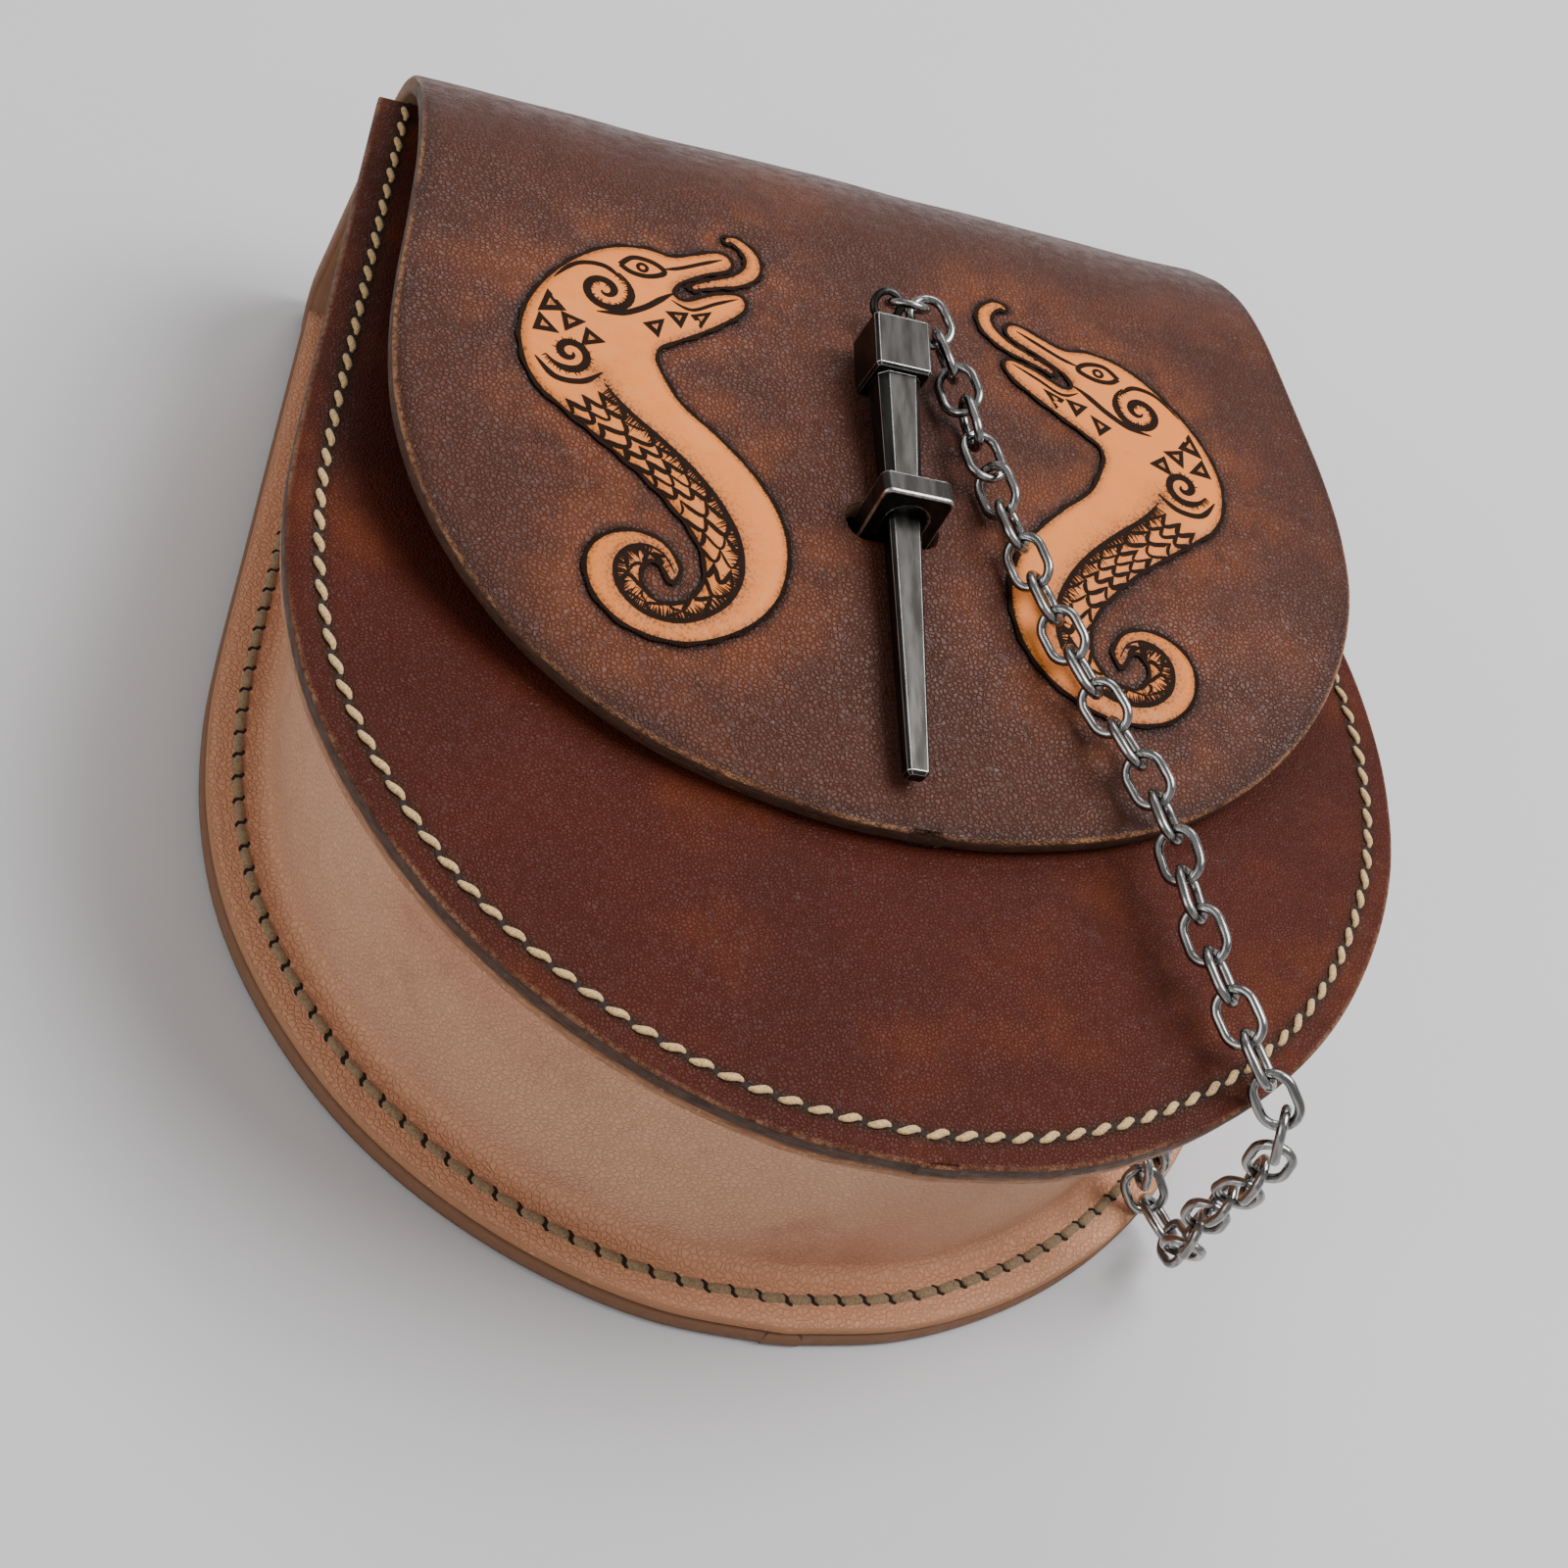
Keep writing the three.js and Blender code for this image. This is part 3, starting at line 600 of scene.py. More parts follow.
def leather_sheet(name, rows, profile, thickness, cols, materials, rim, face):
    """A sheet from rows of v, middle and half-width, with rounded edges.

    face(x, v) gives how far the outer face stands proud, and attributes for the material.
    """
    v, middle, half = np.asarray(rows, float).T
    right = np.column_stack([middle + half, v])
    left = np.column_stack([middle - half, v])
    n = len(rows)
    u = np.linspace(0, 1, cols)[:, None]
    tip = left[0] + (right[0] - left[0]) * u
    top = right[-1] + (left[-1] - right[-1]) * u
    loop = np.vstack([tip, right[1:-1], top, left[1:-1][::-1]])
    normals = corner_normals(loop)
    inner = loop - rim * normals
    inner_right = inner[cols - 1:cols + n - 1]
    inner_left = np.vstack([inner[2 * cols + n - 3:], inner[:1]])[::-1]
    grid = inner_left[:, None] + (inner_right - inner_left)[:, None] * u.ravel()[None, :, None]
    flat = grid.reshape(-1, 2)
    index = np.arange(n * cols).reshape(n, cols)
    edge = np.concatenate([index[0], index[1:-1, -1], index[-1][::-1], index[1:-1, 0][::-1]])

    proud, attributes = face(flat[:, 0], flat[:, 1])
    points, insets, sources = [], [], []

    def layer(at, lift, inset, source):
        points.append(profile.place(at[:, 0], at[:, 1], lift))
        insets.append(np.broadcast_to(inset, (len(at),)))
        sources.append(source)

    from_edge = distance_to(flat, loop)
    everywhere = np.arange(len(flat))
    rounding = [(rim * math.sin(a), rim * (1 - math.cos(a))) for a in np.radians([30, 60, 90])]
    levels = rounding + [(out, thickness - deep) for out, deep in rounding[::-1]]
    layer(flat, proud, from_edge, everywhere)
    for out, deep in levels:
        layer(inner + out * normals, proud[edge] * (1 - out / rim) - deep, rim - out, edge)
    layer(flat, -thickness, from_edge, everywhere)
    values = {key: a[np.concatenate(sources)] for key, a in attributes.items()}
    values["inset"] = np.concatenate(insets)

    m = len(loop)
    back_start = len(flat) + len(levels) * m
    between = [len(flat) + k * m + np.arange(m) for k in range(len(levels))]
    rings = [edge, *between, back_start + edge]
    faces = grid_faces(n, cols)
    kinds = [0] * len(faces)
    for k, (a, b) in enumerate(zip(rings, rings[1:])):
        faces += np.column_stack([a, b, np.roll(b, -1), np.roll(a, -1)]).tolist()
        kinds += [0 if k < 2 else 1] * m
    back = grid_faces(n, cols, back_start, flip=True)
    kinds += [2] * len(back)
    return mesh_object(name, np.vstack(points), faces + back, materials, kinds, values)


def outline_rows(outline, pitch, middle, top):
    """Rows up a panel as y, middle and half-width."""
    curve = resample(smooth(outline), pitch)
    curve = curve[curve[:, 1] <= top]
    return [(y, middle, max(x, TIP_HALF)) for x, y in curve]


def fold_line():
    """Where the leather's outer face runs: down the flap, over the top and down to the ground."""
    y = np.linspace(FLAP_HEIGHT[0][0], FLAP_HEIGHT[-2][0], 160)
    flap = np.column_stack([y, value_at(FLAP_HEIGHT, y)])
    round_over = smooth([*FLAP_HEIGHT[-2:], *FOLD, (BAG_TOP, 34)], 10)[12:]
    angle = np.linspace(0, math.pi / 2, 14)
    turn = np.column_stack([
        BAG_TOP - BACK_FOLD_RADIUS * (1 - np.cos(angle)),
        BACK_FOLD_RADIUS * (1 - np.sin(angle)),
    ])
    ground = np.linspace(GROUND_TOP, -BAG_TOP, 120)
    flat = np.column_stack([ground, np.zeros(len(ground))])
    return Profile(np.vstack([flap, round_over, turn, flat]))


FLAP_PROFILE = fold_line()
FRONT_LINE = np.linspace(-BAG_TOP, FRONT_TOP, 160)
FRONT_PROFILE = Profile(np.column_stack([FRONT_LINE, value_at(FRONT_HEIGHT, FRONT_LINE)]))


SERPENT_BACK_CURVE = smooth(SERPENT_BACK, 12)
SERPENT_BELLY_CURVE = smooth(SERPENT_BELLY, 12)


def serpent_outline():
    head = smooth([SERPENT_BELLY[0], *SERPENT_HEAD, SERPENT_BACK[0]], 8)
    tail = smooth([SERPENT_BACK[-1], SERPENT_TIP, SERPENT_BELLY[-1]], 6)
    loop = np.vstack([head, SERPENT_BACK_CURVE[1:], tail[1:-1], SERPENT_BELLY_CURVE[::-1]])
    return resample(loop[:-1], SERPENT_SPACING)[:-1]


def tongue_outline():
    curve = smooth(SERPENT_TONGUE, 10)
    side = right_of(curve[:, :2])
    return np.vstack([curve[:, :2] + side * curve[:, 2:], (curve[:, :2] - side * curve[:, 2:])[::-1]])


def mirrored(points):
    return np.asarray(points) * (-1, 1) + (2 * MIRROR_X, 0)


SERPENT = serpent_outline()
TONGUE = tongue_outline()


def figure_distance(points):
    """How far each point of the flap is outside the nearest tooled figure."""
    best = np.full(len(points), FAR)
    for loop in (SERPENT, TONGUE):
        for shape in (loop, mirrored(loop)):
            d = distance_to(points, shape)
            best = np.minimum(best, np.where(inside(points, shape), 0.0, d))
    return best


def flap_face(x, v):
    """The flap is pressed down round the figures, and flat by the time it reaches the back."""
    y = np.interp(v, FLAP_PROFILE.v, FLAP_PROFILE.line[:, 0])
    on_flap = v < FLAP_PROFILE.v_at(FIGURES_TOP)
    figure = np.full(len(x), FAR)
    figure[on_flap] = figure_distance(np.column_stack([x, y])[on_flap])
    pressed = -0.3 * np.exp(-(figure / 2.5) ** 2)
    fade = np.clip((FLAP_PROFILE.v_at(BAG_TOP) + 40 - v) / 20, 0, 1)
    return (ripple(x, y) + pressed) * fade, {"figure": figure}


def back_and_flap():
    flap = outline_rows(FLAP_OUTLINE, FLAP_ROWS, FLAP_SHIFT, FLAP_TOP)
    back = outline_rows(PANEL_OUTLINE, BACK_ROWS, 0, GROUND_TOP)[::-1]
    rows = [(float(FLAP_PROFILE.v_at(y)), middle, half) for y, middle, half in flap]
    ground = [(FLAP_PROFILE.v[-1] - (y + BAG_TOP), 0, half) for y, _, half in back]
    low, _, low_half = rows[-1]
    high, _, high_half = ground[0]
    steps = int((high - low) / FOLD_ROWS)
    for i in range(1, steps):
        t = i / steps
        half = low_half + (high_half - low_half) * t
        rows.append((low + (high - low) * t, FLAP_SHIFT * (1 - t), half))
    obj = leather_sheet("back_flap_leather", rows + ground, FLAP_PROFILE, BACK_LEATHER, FLAP_COLUMNS,
                        [FLAP, BROWN_EDGE, FLESH], FLAP_RIM, flap_face)
    cut_slot(obj)
    return settle(obj, "brown_leather", "back_and_flap")


def cut_slot(obj):
    """Cuts the round-ended slot for the keeper. Its walls are raw leather."""
    r = SLOT["height"] / 2
    straight = SLOT["width"] / 2 - r
    a = np.linspace(-math.pi / 2, math.pi / 2, 16)
    end = np.column_stack([straight + r * np.cos(a), r * np.sin(a)])
    loop = np.vstack([end, -end]) + (SLOT["x"], SLOT["y"])
    n = len(loop)
    points = np.vstack([np.column_stack([loop, np.full(n, SLOT[z])]) for z in ("bottom", "top")])
    faces = [(i, (i + 1) % n, (i + 1) % n + n, i + n) for i in range(n)]
    faces += [tuple(range(n - 1, -1, -1)), tuple(range(n, 2 * n))]
    materials = [FLAP, BROWN_EDGE, FLESH]
    plug = mesh_object("slot_plug", points, faces, materials, [2] * len(faces), flat=True)
    cut = obj.modifiers.new("slot", "BOOLEAN")
    cut.operation = "DIFFERENCE"
    cut.object = plug
    cut.solver = "EXACT"
    apply_modifiers(obj)
    bpy.data.objects.remove(plug)


def front_face(x, v):
    y = np.interp(v, FRONT_PROFILE.v, FRONT_PROFILE.line[:, 0])
    return ripple(x, y), {}


def front_panel():
    front = outline_rows(PANEL_OUTLINE, FRONT_ROWS, 0, FRONT_TOP)
    rows = [(float(FRONT_PROFILE.v_at(y)), middle, half) for y, middle, half in front]
    obj = leather_sheet("front_leather", rows, FRONT_PROFILE, FRONT_LEATHER, FRONT_COLUMNS,
                        [FRONT, BROWN_EDGE, FLESH], FRONT_RIM, front_face)
    return settle(obj, "red_brown_leather", "front_panel")


# ---------------------------------------------------------------- gusset

def gusset_path():
    right = resample(smooth(PANEL_OUTLINE), count=60)
    right = right[right[:, 1] < GUSSET_TOP - 2]
    right = np.vstack([right, [75, GUSSET_TOP]])
    left = right[1:][::-1] * (-1, 1)
    return smooth(np.vstack([left, right]), 8)


def gusset_section(bottom, top, dent):
    """The section as inset from the outline and height: up its inner side and down its outer side."""
    outer_bend = GUSSET_BEND + GUSSET_LEATHER
    bend_inset = GUSSET_INSET + GUSSET_LEATHER - outer_bend
    section = []

    def line(x0, x1, z):
        for t in np.linspace(0, 1, 5, endpoint=False):
            section.append((x0 + (x1 - x0) * t, z))

    def arc(z, radius, start, end):
        for a in np.radians(np.linspace(start, end, 7)):
            section.append((bend_inset + radius * math.cos(a), z + radius * math.sin(a)))

    def side(z0, z1, radius, count):
        way = 1 if z1 > z0 else -1
        low = z0 + way * radius
        high = z1 - way * radius
        line(GUSSET_RIM, bend_inset, z0)
        arc(low, radius, -90 * way, 0)
        for t in np.linspace(0, 1, count + 2)[1:-1]:
            push = dent * math.sin(math.pi * t) ** 1.5
            section.append((bend_inset + radius + push, low + (high - low) * t))
        arc(high, radius, 0, 90 * way)
        line(bend_inset, GUSSET_RIM, z1)
        section.append((GUSSET_RIM, z1))
        section.append((GUSSET_BEVEL, z1 - GUSSET_BEVEL))
        section.append((GUSSET_BEVEL, z1 - GUSSET_LEATHER + GUSSET_BEVEL))

    side(bottom, top, outer_bend, 10)
    side(top - GUSSET_LEATHER, bottom + GUSSET_LEATHER, GUSSET_BEND, 14)
    return np.array(section)


def dent_depth(along):
    """How far the wall is pushed in: slow waves along it, and three deeper dents."""
    depth = 0.25 + 0.25 * math.sin(along * 23) + 0.15 * math.sin(along * 57 + 1)
    for place, deepest, reach in GUSSET_DENTS:
        t = abs(along - place) / reach
        if t < 1:
            depth += deepest * math.cos(t * math.pi / 2) ** 2
    return depth


def gusset():
    path = resample(gusset_path(), count=GUSSET_STEPS)
    t = tangents(path)
    inward = np.column_stack([-t[:, 1], t[:, 0]])
    bottom = BACK_LEATHER + GAP
    under = FRONT_LEATHER + GAP
    rings, insets, flanges = [], [], []
    for i, (x, y) in enumerate(path):
        top = float(value_at(FRONT_HEIGHT, y)) - under
        inset, height = gusset_section(bottom, top, dent_depth(i / GUSSET_STEPS)).T
        ys = y + inward[i, 1] * inset
        share = np.clip((height - bottom) / (top - bottom), 0, 1)
        zs = height + share * (value_at(FRONT_HEIGHT, ys) - under - top)
        rings.append(np.column_stack([x + inward[i, 0] * inset, ys, zs]))
        insets.append(inset)
        flanges.append(np.clip(1 - (height - bottom - 1.5) / 4.5, 0, 1))
    m = len(rings[0])
    n = len(rings)
    faces, kinds = [], []
    for i in range(n - 1):
        for j in range(m):
            k = (j + 1) % m
            a, b = i * m + j, i * m + k
            faces.append((a, b, b + m, a + m))
            kinds.append(1 if max(insets[i][j], insets[i][k]) <= GUSSET_RIM else 0)
    faces += [tuple(range(m - 1, -1, -1)), tuple(range((n - 1) * m, n * m))]
    kinds += [1, 1]
    attributes = {"inset": np.concatenate(insets), "flange": np.concatenate(flanges)}
    obj = mesh_object("gusset_leather", np.vstack(rings), faces, [TAN, TAN_EDGE], kinds, attributes)
    face_outward(obj)
    return settle(obj, "natural_leather", "gusset")


# ---------------------------------------------------------------- stitches

def seam_line(inset, top):
    """The U of a seam, from its left end round the bottom to its right end, at equal steps."""
    right = smooth(PANEL_OUTLINE)
    outline = np.vstack([(right[1:] * (-1, 1))[::-1], right])
    outline = resample(outline, 0.8)
    line = outline - right_of(outline) * inset
    line = line[line[:, 1] < top]
    return resample(line, STITCH_PITCH)


def turned(along, angle):
    """A flat direction turned by an angle, and the one to its left."""
    side = np.array([-along[1], along[0]])
    axis = along * math.cos(angle) + side * math.sin(angle)
    return axis, np.array([-axis[1], axis[0]])


def stitch(place, at, along, length, slant, width, height, sharpness):
    """One plump stitch, turned by its slant. Both ends taper and dive into their holes."""
    axis, side = turned(along, slant)
    u = np.linspace(-1, 1, 9)
    bend = 0.42 * np.sin(u * math.pi * 0.5) ** 5
    flat = at + np.outer(u * length / 2, axis) - np.outer(bend, side)
    rise = height * (1 - np.abs(u) ** 3.2) - 0.45 * np.abs(u) ** 6
    path = place(flat[:, 0], flat[:, 1], rise)
    radius = width / 2 * (1.0 - 0.82 * np.abs(u) ** sharpness)
    return tube_mesh(path, radius, 10, False, 0.72)


def hole(place, at, along, length, width, turn):
    """A dark lens at a stitch hole: painted shade in the hole."""
    axis, side = turned(along, turn)
    a = np.linspace(0, 2 * math.pi, 10, endpoint=False)
    flat = at + np.outer(np.cos(a) * length / 2, axis) + np.outer(np.sin(a) * width / 2, side)
    return place(flat[:, 0], flat[:, 1], np.full(10, 0.05)), [tuple(range(10))]


def seam(name, line, place, thread_material, look, hole_look):
    """A row of stitches with the holes between them, whose dark is painted shade."""
    parts = Parts()
    t = tangents(line)
    for i in range(len(line) - 1):
        along = t[i] + t[i + 1]
        along /= np.linalg.norm(along)
        uneven = dict(look, slant=look["slant"] + rng.uniform(-0.05, 0.05))
        uneven["length"] *= rng.uniform(0.95, 1.05)
        parts.add(*stitch(place, (line[i] + line[i + 1]) / 2, along, **uneven), 0)
    for at, along in zip(line, t):
        parts.add(*hole(place, at, along, **hole_look), 1)
    obj = parts.build(name, [thread_material, HOLE_SHADE])
    return settle(obj, "natural_leather")


def front_seam():
    line = seam_line(FRONT_SEAM_INSET, FRONT_TOP - 1.5)
    return seam("front_stitches", line, FRONT_PROFILE.on, CREAM_THREAD, FRONT_STITCH, FRONT_HOLE)


def on_flange(x, y, lift):
    z = BACK_LEATHER + GAP + GUSSET_LEATHER
    return np.column_stack([x, y, z + np.asarray(lift)])


def back_seam():
    line = seam_line(BACK_SEAM_INSET, GUSSET_TOP - 2)
    return seam("back_stitches", line, on_flange, OLIVE_THREAD, BACK_STITCH, BACK_HOLE)


# ---------------------------------------------------------------- tooling

def lift_over(points, loop):
    """The tooled figure's pillowed face over the flap."""
    d = distance_to(points, loop)
    return 0.02 + 0.5 * (1 - np.exp(-d / 1.1))


def fill(loop, spacing):
    """Triangles that fill a loop, with inner points on a grid."""
    loop = np.asarray(loop)
    low, high = loop.min(0), loop.max(0)
    xs = np.arange(low[0], high[0], spacing)
    ys = np.arange(low[1], high[1], spacing)
    grid = np.array([(x + (spacing / 2 if k % 2 else 0), y) for k, y in enumerate(ys) for x in xs])
    grid = grid[inside(grid, loop)]
    grid = grid[distance_to(grid, loop) > spacing * 0.45]
    points = np.vstack([loop, grid])
    n = len(loop)
    edges = [(i, (i + 1) % n) for i in range(n)]
    out = delaunay_2d_cdt([Vector(p) for p in points], edges, [], 1, 1e-5)
    return np.array([tuple(p) for p in out[0]]), [tuple(f) for f in out[2]]


def strip(path, width):
    """A flat ribbon along a path, as points and quads. width is one number or one for each point."""
    path = np.asarray(path, float)
    width = np.broadcast_to(width, (len(path),))
    side = right_of(path) * width[:, None] / 2
    points = np.empty((2 * len(path), 2))
    points[0::2] = path + side
    points[1::2] = path - side
    faces = [(2 * i, 2 * i + 2, 2 * i + 3, 2 * i + 1) for i in range(len(path) - 1)]
    return points, faces


def across(share):
    """The line along the body at a share of its width, from its back to its belly."""
    return SERPENT_BACK_CURVE + (SERPENT_BELLY_CURVE - SERPENT_BACK_CURVE) * share


def tapered(count, width, start=0.25, end=0.25):
    """Widths along a stroke that thins out over its first and last shares."""
    u = np.linspace(0, 1, count)
    return width * (0.85 * np.minimum(1, np.minimum(u / start, (1 - u) / end)) + 0.15)


def sample(curve, at):
    low = int(min(max(math.floor(at), 0), len(curve) - 2))
    return curve[low] + (curve[low + 1] - curve[low]) * (at - low)


def scale_lines():
    """Overlapping scales along the belly, as lines with their widths."""
    lines = []
    s = lengths(across(0.76))
    places = np.arange(len(s))
    u = np.linspace(0, 1, 9)
    for row in range(1, int(s[-1] / SCALE_PITCH)):
        at = np.interp(row * SCALE_PITCH, s, places)
        reach = (row + rng.uniform(0.85, 1.1)) * SCALE_PITCH
        ahead = np.interp(min(reach, s[-1]), s, places)
        wide = np.linalg.norm(sample(across(BELLY_FROM), at) - sample(across(1.0), at))
        scales = max(1, int(round(wide / SCALE_WIDTH)))
        shift = 0.5 / scales if row % 2 else 0.0
        for k in range(-1, scales + 1):
            shares = (k + u) / scales + shift
            keep = (shares >= 0) & (shares <= 1)
            if keep.sum() < 3:
                continue
            where = at + (ahead - at) * np.sin(u[keep] * math.pi) ** 0.7
            belly = BELLY_FROM + (1 - BELLY_FROM) * shares[keep]
            points = [sample(across(share), place) for share, place in zip(belly, where)]
            lines.append((np.array(points), 0.66 * rng.uniform(0.6, 1.4)))
    return lines


def spiral(cx, cy, outer, inner, turns, start, way):
    u = np.linspace(0, 1, int(26 * turns))
    angle = math.radians(start) + way * u * turns * 2 * math.pi
    radius = outer + (inner - outer) * u ** 0.8
    return np.column_stack([cx + radius * np.cos(angle), cy + radius * np.sin(angle)])


# The lines drawn on the head: points and width.
HEAD_LINES = [
    ([(-33.2, 40.4), (-35.6, 38), (-38.4, 35.4), (-42, 33.2), (-46, 32.4)], 1.08),
    ([(-35, 44.6), (-32, 45.8), (-28, 48.2), (-24.6, 50.2)], 0.675),
    ([(-33.8, 38.6), (-30.6, 37.4), (-26.6, 39.8), (-22.6, 42.2)], 0.675),
    ([(-55.8, 21), (-52.8, 17.8), (-48.6, 18), (-45.4, 20.6)], 1.0125),
    ([(-52.4, 38), (-48.8, 41.8), (-44.4, 42.4), (-41.4, 40)], 0.945),
]
TRIANGLES = [
    [(-54.6, 30.6), (-51.4, 31.4), (-53.4, 34.2)], [(-55.6, 26.4), (-52.6, 26.6), (-54.8, 29.2)],
    [(-50.8, 27.6), (-48.4, 29.6), (-51.2, 30.4)], [(-48.2, 25.4), (-45.4, 26.6), (-47.6, 28.2)],
    [(-34.4, 35.6), (-31.6, 36.2), (-32.6, 33.6)], [(-30.4, 36.2), (-27.8, 37.4), (-29.2, 34.6)],
    [(-38.2, 32.2), (-35.6, 33.6), (-36.4, 30.6)],
]
EYE_SHAPE = [(-41.8, 43.6), (-39.6, 45.8), (-36.4, 45.6), (-34.6, 44), (-37.2, 42.4), (-40, 42.4)]
# Centre, first and last radius, turns, first angle in degrees and way round.
COILS = [(-44.6, 37.2, 5.0, 0.5, 1.6, 60, -1), (-50.4, 23.0, 3.9, 0.4, 1.5, 200, 1)]
PUPIL = (-38.2, 44.0, 0.75, 0.75, 1.0, 0, 1)
COIL_HATCH = dict(side=1, reach=1.2, spacing=0.4, width=0.3, tip=0.15)
BELLY_HATCH = dict(side=1, reach=2.6, spacing=0.38, width=0.32, tip=0.1)
BACK_HATCH = dict(side=-1, reach=0.9, spacing=0.45, width=0.24, tip=0.1)
# The small tan triangle inside each dark one is a painted highlight on the cut's face.
TRIANGLE_LAYERS = [(1.4, 1, 0.07), (0.45, 0, 0.1)]      # scale, material and lift
LINE_LIFT = 0.05      # a line's height over the figure
HATCH_LIFT = 0.06
RIM_LIFT = 0.09       # the outline's height over the flap


def hatch(path, side, reach, spacing, width, tip):
    """Short tapering strokes out of one side of a line, with their widths."""
    strokes = []
    line = resample(path, spacing)
    for p, normal, along in zip(line, right_of(line) * side, tangents(line)):
        length = reach * rng.uniform(0.55, 1.15)
        lean = along * rng.uniform(-0.15, 0.25) * length
        points = np.array([p, p + normal * length * 0.5 + lean * 0.4, p + normal * length + lean])
        strokes.append((points, width * np.array([1, 0.7, tip])))
    return strokes


def serpent(name, flip):
    """One tooled figure: the raised tan body and the blackened lines cut into it."""
    parts = Parts()

    def lay(points, faces, index, lift, shade=0.0):
        flat = mirrored(points) if flip else points
        placed = FLAP_PROFILE.on(flat[:, 0], flat[:, 1], lift)
        parts.add(placed, [f[::-1] for f in faces] if flip else faces, index, shade=shade)

    def draw(path, width, lift=LINE_LIFT):
        points, faces = strip(path, width)
        lay(points, faces, 1, lift_over(points, SERPENT) + lift)

    divide = across(BELLY_FROM - 0.03)
    scales = scale_lines()
    for loop in (SERPENT, TONGUE):
        points, faces = fill(loop, SERPENT_SPACING)
        shade = 0.8 * np.exp(-(distance_to(points, loop) / 0.8) ** 2)
        if loop is SERPENT:
            shade = np.maximum(shade, 0.95 * np.exp(-distance_to(points, divide, False) / 1.5))
            for path, _ in scales:
                near = np.exp(-(distance_to(points, path, False) / 0.6) ** 2)
                shade = np.maximum(shade, 0.35 * near)
        lay(points, faces, 0, lift_over(points, loop), shade)
    for loop in (SERPENT, TONGUE):
        ring = np.vstack([loop, loop[:1]])
        points, faces = strip(ring, 0.95 + 0.3 * np.sin(np.arange(len(ring)) * 0.9))
        lay(points, faces, 1, np.full(len(points), RIM_LIFT))
    draw(divide[4:], tapered(len(divide) - 4, 0.85, 0.05, 0.3))
    for path, width in scales:
        draw(path, tapered(len(path), width, 0.1, 0.1))
    for path, width in HEAD_LINES:
        curve = smooth(path, 8)
        draw(curve, tapered(len(curve), width))
    for coil in COILS:
        line = spiral(*coil)
        draw(line, tapered(len(line), 1.3, 0.1, 0.3))
        for path, widths in hatch(line[:len(line) * 2 // 3], **COIL_HATCH):
            draw(path, widths, HATCH_LIFT)
    belly_strokes = hatch(divide[6:-20], **BELLY_HATCH)
    back_strokes = hatch(across(0.02)[40:-30], **BACK_HATCH)
    for path, widths in belly_strokes + back_strokes:
        draw(path, widths, HATCH_LIFT)
    for corners in TRIANGLES:
        middle = np.mean(corners, axis=0)
        # The second layer, small and tan, is a painted highlight inside the dark triangle.
        for scale, index, lift in TRIANGLE_LAYERS:
            points = middle + (np.array(corners) - middle) * scale
            lay(points, [(0, 1, 2)], index, lift_over(points, SERPENT) + lift, 0.5)
    draw(resample(smooth([*EYE_SHAPE, EYE_SHAPE[0]], 8), 0.4), 0.95)
    draw(spiral(*PUPIL), 0.6)
    obj = parts.build(name, [TOOLED, INK])
    return settle(obj, "natural_leather")


# ---------------------------------------------------------------- steel

def bevelled(obj, width, angle):
    """Rounds the edges sharper than the angle. The rounding is worn bright, and its bright colour is also a
    painted highlight along the edges.
    """
    bevel = obj.modifiers.new("bevel", "BEVEL")
    bevel.width = width * MM
    bevel.segments = 2
    bevel.limit_method = "ANGLE"
    bevel.angle_limit = math.radians(angle)
    bevel.material = 1
    bevel.harden_normals = True
    return apply_modifiers(obj)


def ray_loop(shape, centre, angles):
    """Where rays from a centre cross a closed shape."""
    out = []
    shape = np.asarray(shape, float) - centre
    for a in angles:
        d = np.array([math.cos(a), math.sin(a)])
        best = 0.0
        for p, q in zip(shape, np.roll(shape, -1, axis=0)):
            e = q - p
            det = d[0] * -e[1] + d[1] * e[0]
            if abs(det) < 1e-12:
                continue
            r = (p[0] * -e[1] + p[1] * e[0]) / det
            k = (d[0] * p[1] - d[1] * p[0]) / det
            if r > 0 and -1e-9 <= k <= 1 + 1e-9:
                best = max(best, r)
        out.append(centre + d * best)
    return np.array(out)


def arc_points(cx, cy, radius, start, end, count):
    a = np.radians(np.linspace(start, end, count))
    return np.column_stack([cx + radius * np.cos(a), cy + radius * np.sin(a)])


def keeper():
    k = KEEPER
    half, r = k["width"] / 2, k["corner"]
    outer = np.vstack([
        [(-half, k["foot"]), (half, k["foot"])],
        arc_points(half - r, k["top"] - r, r, 0, 90, 7),
        arc_points(-half + r, k["top"] - r, r, 90, 180, 7),
    ])
    hole_half = k["hole"] / 2
    arch = np.vstack([
        [(-hole_half, k["floor"]), (hole_half, k["floor"])],
        arc_points(0, k["arch"], hole_half, 0, 180, 19),
    ])
    centre = np.array([0.0, k["middle"]])
    corners = np.vstack([outer, arch]) - centre
    angles = np.unique(np.round(np.arctan2(corners[:, 1], corners[:, 0]), 5))
    loops = [ray_loop(outer, centre, angles), ray_loop(arch, centre, angles)]
    n = len(angles)
    points = []
    for y in (k["y"] - k["depth"] / 2, k["y"] + k["depth"] / 2):
        for loop in loops:
            points.append(np.column_stack([loop[:, 0], np.full(n, y), loop[:, 1]]))
    faces = []
    for i in range(n):
        j = (i + 1) % n
        faces.append((i, j, n + j, n + i))
        faces.append((2 * n + j, 2 * n + i, 3 * n + i, 3 * n + j))
        faces.append((j, i, 2 * n + i, 2 * n + j))
        faces.append((n + i, n + j, 3 * n + j, 3 * n + i))
    obj = mesh_object("keeper_staple", np.vstack(points), faces, [DARK_STEEL, WORN_EDGE_HIGHLIGHT])
    face_outward(obj)
    bevelled(obj, k["bevel"], 35)
    return settle(obj, "dark_steel", "keeper")


